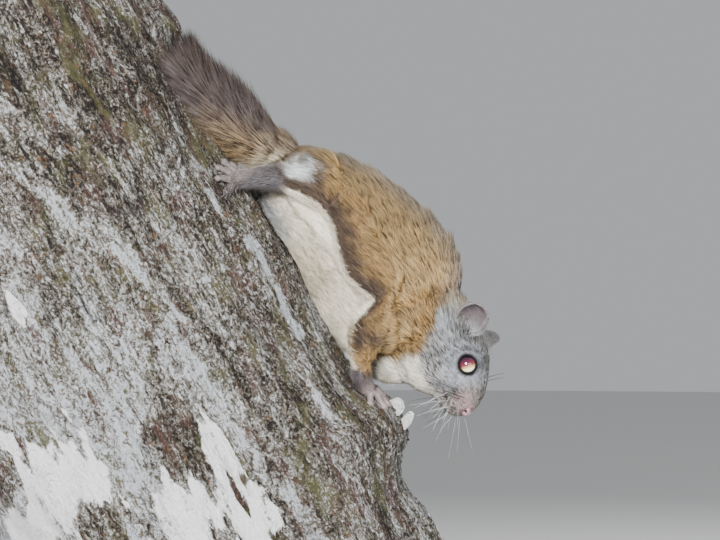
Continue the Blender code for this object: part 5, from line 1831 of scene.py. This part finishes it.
def close_trunk(trunk):
    """Joins the seam and closes both sawn ends with rings that shrink to the pith."""
    bm = bmesh.new()
    bm.from_mesh(trunk.data)
    bmesh.ops.remove_doubles(bm, verts=bm.verts[:], dist=1e-7)
    radius = bm.verts.layers.float.new("radius")
    for place in (TRUNK_UPPER, TRUNK_LOWER):
        middle = on_body(place, 0.0, -TRUNK_RADIUS)
        loop = [edge for edge in bm.edges if edge.is_boundary
                and abs((edge.verts[0].co - middle).dot(CLING)) < 5.0 * MM]
        before = 1.0
        for share in END_SHARES:
            made = bmesh.ops.extrude_edge_only(bm, edges=loop)["geom"]
            fresh = [item for item in made if isinstance(item, bmesh.types.BMVert)]
            for vert in fresh:
                off = vert.co - middle
                vert.co = middle + (off - CLING * off.dot(CLING)) * share / before
                vert[radius] = share
            for item in made:
                if isinstance(item, bmesh.types.BMFace):
                    item.material_index = 1
            loop = [edge for edge in {e for vert in fresh for e in vert.link_edges} if edge.is_boundary]
            before = share
        for face in bmesh.ops.contextual_create(bm, geom=loop)["faces"]:
            face.material_index = 1
    bmesh.ops.recalc_face_normals(bm, faces=bm.faces[:])
    bm.to_mesh(trunk.data)
    bm.free()
    trunk.data.shade_smooth()


def make_crumbs(finish):
    """Loose crumbs and splinters of bark, thickest where the trunk shows its outline."""
    rng = np.random.default_rng(SEED + 5)
    count = CRUMB_COUNT
    s = rng.uniform(TRUNK_UPPER + 3.0, TRUNK_LOWER - 2.0, count)
    turn = np.where(rng.random(count) < 0.7, rng.uniform(-1.9, 0.5, count),
                    rng.uniform(-math.pi, math.pi, count))
    edge = rng.random(count) < 0.22
    turn[edge] = rng.uniform(-0.35, 0.2, edge.sum())
    keep = foot_clearance(s, TRUNK_RADIUS * np.sin(turn)) > 0.85
    s, turn = s[keep], turn[keep]
    count = len(s)
    size = rng.uniform(0.4, 0.95, count) * (1.0 + 0.7 * (rng.random(count) < 0.08))
    shape = np.stack((size * rng.uniform(1.0, 2.6, count), size * rng.uniform(0.6, 1.1, count),
                      size * rng.uniform(0.4, 0.8, count)), axis=1)
    middle = trunk_places(s, turn, np.full(count, 0.2))
    white, pale = pale_masks(middle, s, turn)
    bm = bmesh.new()
    bmesh.ops.create_icosphere(bm, subdivisions=1, radius=1.0)
    bm.verts.index_update()
    faces = np.array([[vert.index for vert in face.verts] for face in bm.faces])
    ball = np.array([tuple(vert.co) for vert in bm.verts])
    bm.free()
    normal = unit(np.outer(np.cos(turn), np.array(OUT)) + np.outer(np.sin(turn), np.array(LEFT)))
    along = np.repeat(np.array(CLING)[None], count, axis=0)
    across = np.cross(normal, along)
    spin = rng.normal(scale=0.35, size=count)[:, None]
    along, across = (along * np.cos(spin) + across * np.sin(spin),
                     across * np.cos(spin) - along * np.sin(spin))
    local = ball[None] * (1.0 + rng.normal(scale=0.3, size=(count, len(ball), 1))) * shape[:, None]
    points = middle[:, None] + (along[:, None] * local[:, :, :1] + across[:, None] * local[:, :, 1:2]
                                + normal[:, None] * local[:, :, 2:]) * MM
    each = len(ball)
    mesh = mesh_of_copies("bark_crumbs", points, faces)
    mesh.shade_flat()
    write_masks(mesh, {"crack": 0.0, "plate": np.repeat(rng.random(count), each),
                       "white": np.repeat(white, each), "pale": np.repeat(pale, each)})
    chart_bark(mesh, np.repeat(s, each) + local[:, :, 0].ravel(),
               np.repeat(turn, each) + local[:, :, 1].ravel() / TRUNK_RADIUS)
    dress(add_object("bark_crumbs", mesh), finish, "bark")


# Pale plates of bark, three by the right forefoot and two lower on the near side: X, Y, Z in the world
# frame, the way the plate faces, its long way, and half sizes along it, across it and through it
PLATES = (
    ((16.6, -15.5, -63.0), (-0.25, -0.93, 0.28), (0.3, 0.0, 1.0), (4.4, 3.9, 1.0)),
    ((21.4, -13.5, -69.4), (0.20, -0.95, 0.25), (0.55, 0.0, 0.83), (5.0, 2.3, 0.9)),
    ((16.5, -14.0, -71.0), (0.0, -0.98, 0.20), (0.9, 0.0, -0.5), (4.6, 3.4, 1.3)),
    ((-24.0, -64.0, -91.0), (0.1, -1.0, 0.1), (0.5, 0.0, -0.86), (4.6, 3.2, 0.8)),
    ((-14.5, -56.0, -78.5), (0.1, -1.0, 0.1), (0.3, 0.0, -0.95), (3.9, 3.4, 0.8)),
)
PLATE_RIM = 0.55
PLATE_LINES = (0.0, 0.38, 0.78)


def make_plates(finish):
    """Sheets of pale bark that stand off the trunk, dished and with a rolled rim."""
    bm = bmesh.new()
    lines = bm.verts.layers.float.new("crack")
    for place, face, long, half in PLATES:
        facing = Vector(face).normalized()
        far = (Vector(long) - facing * facing.dot(Vector(long))).normalized()
        across = facing.cross(far)
        middle = world(place)
        place_on = Matrix.Translation(middle) @ Matrix((far, across, facing)).transposed().to_4x4()
        cup = bmesh.ops.create_uvsphere(bm, u_segments=40, v_segments=20, radius=1.0)["verts"]
        for vert in cup:
            reach = math.hypot(vert.co.x, vert.co.y)
            dish = 0.5 * reach ** 2 - 0.3
            rim = PLATE_RIM * math.exp(-((reach - 0.93) / 0.07) ** 2)
            wave = noise.noise(vert.co * 2.1 + middle * 900.0)
            radial = 1.0 + 0.16 * wave
            lift = vert.co.z * half[2] + dish * half[2] * 1.4 + rim * (1.0 if vert.co.z > 0.0 else 0.2)
            ripples = 0.16 * noise.noise(vert.co * 6.0 + middle * 700.0)
            local = Vector((vert.co.x * half[0] * radial, vert.co.y * half[1] * radial, lift + ripples))
            bent = reach + 0.06 * wave
            vert[lines] = max(math.exp(-((bent - stop) / 0.1) ** 2) for stop in PLATE_LINES)
            vert.co = place_on @ (local * MM)
    plates = closed_object("bark_plates", bm)
    points = points_of(plates.data)
    s, y, h = body_places(points)
    bright = np.where((s > 70.0) & (y > -30.0), 1.3, 0.2)
    write_masks(plates.data, {"plate": 0.8, "pale": 0.8,
                              "white": bright + 0.12 * ripple(points / MM, 5.0, 63)})
    chart_bark(plates.data, s, (h + y) / TRUNK_RADIUS)
    dress(plates, finish, "bark")


# Stand and stage

FLOOR_RADIUS = 4.0
CAMERA_PLACE = (0.105, -1.2, 0.242)
CAMERA_LENS = 129.0


def finish_stand():
    wood = stand_wood_finish()
    metal = stand_metal_finish()
    for name, material in (("stand_base", wood), ("stand_rod_1", metal), ("stand_rod_2", metal)):
        mesh = frame["nodes"][name].data
        mesh.materials.clear()
        mesh.materials.append(material)


def make_stage():
    bm = bmesh.new()
    bmesh.ops.create_circle(bm, cap_ends=True, segments=96, radius=FLOOR_RADIUS)
    floor = new_object("floor", bm)
    floor.data.materials.append(floor_finish())
    world_light = bpy.data.worlds.new("studio")
    world_light.use_nodes = True
    sky = world_light.node_tree.nodes["Background"]
    sky.inputs["Color"].default_value = (0.80, 0.82, 0.85, 1.0)
    sky.inputs["Strength"].default_value = 0.55
    bpy.context.scene.world = world_light
    add_light("key", (-0.14, -1.34, 0.62), 0.4, 44.0)
    add_light("fill", (0.80, -1.00, 0.22), 0.9, 10.0)
    add_light("back", (0.45, 0.9, 0.9), 0.7, 8.0)


def add_light(name, place, size, power):
    """Soft square light that faces the animal."""
    lamp = bpy.data.lights.new(name, "AREA")
    lamp.size = size
    lamp.energy = power
    made = add_object(name, lamp)
    made.location = place
    aim = world((0.0, 0.0, 0.0)) - Vector(place)
    made.rotation_euler = aim.to_track_quat("-Z", "Y").to_euler()


def make_camera():
    lens = bpy.data.cameras.new("camera")
    lens.lens = CAMERA_LENS
    lens.sensor_width = 36.0
    lens.clip_start = 0.01
    camera = add_object("camera", lens)
    camera.location = CAMERA_PLACE
    camera.rotation_euler = (math.radians(90.0), 0.0, 0.0)
    bpy.context.scene.camera = camera


def main():
    skin = make_skin()
    make_coat(skin)
    make_throat_coat(skin)
    make_rim_coat()
    make_tail_coat()
    make_eyes()
    make_lids()
    make_nose()
    make_mouth(skin)
    make_ears()
    make_whiskers(skin)
    make_feet()
    bark = make_trunk()
    make_crumbs(bark)
    make_plates(bark)
    finish_stand()
    make_stage()
    make_camera()


main()
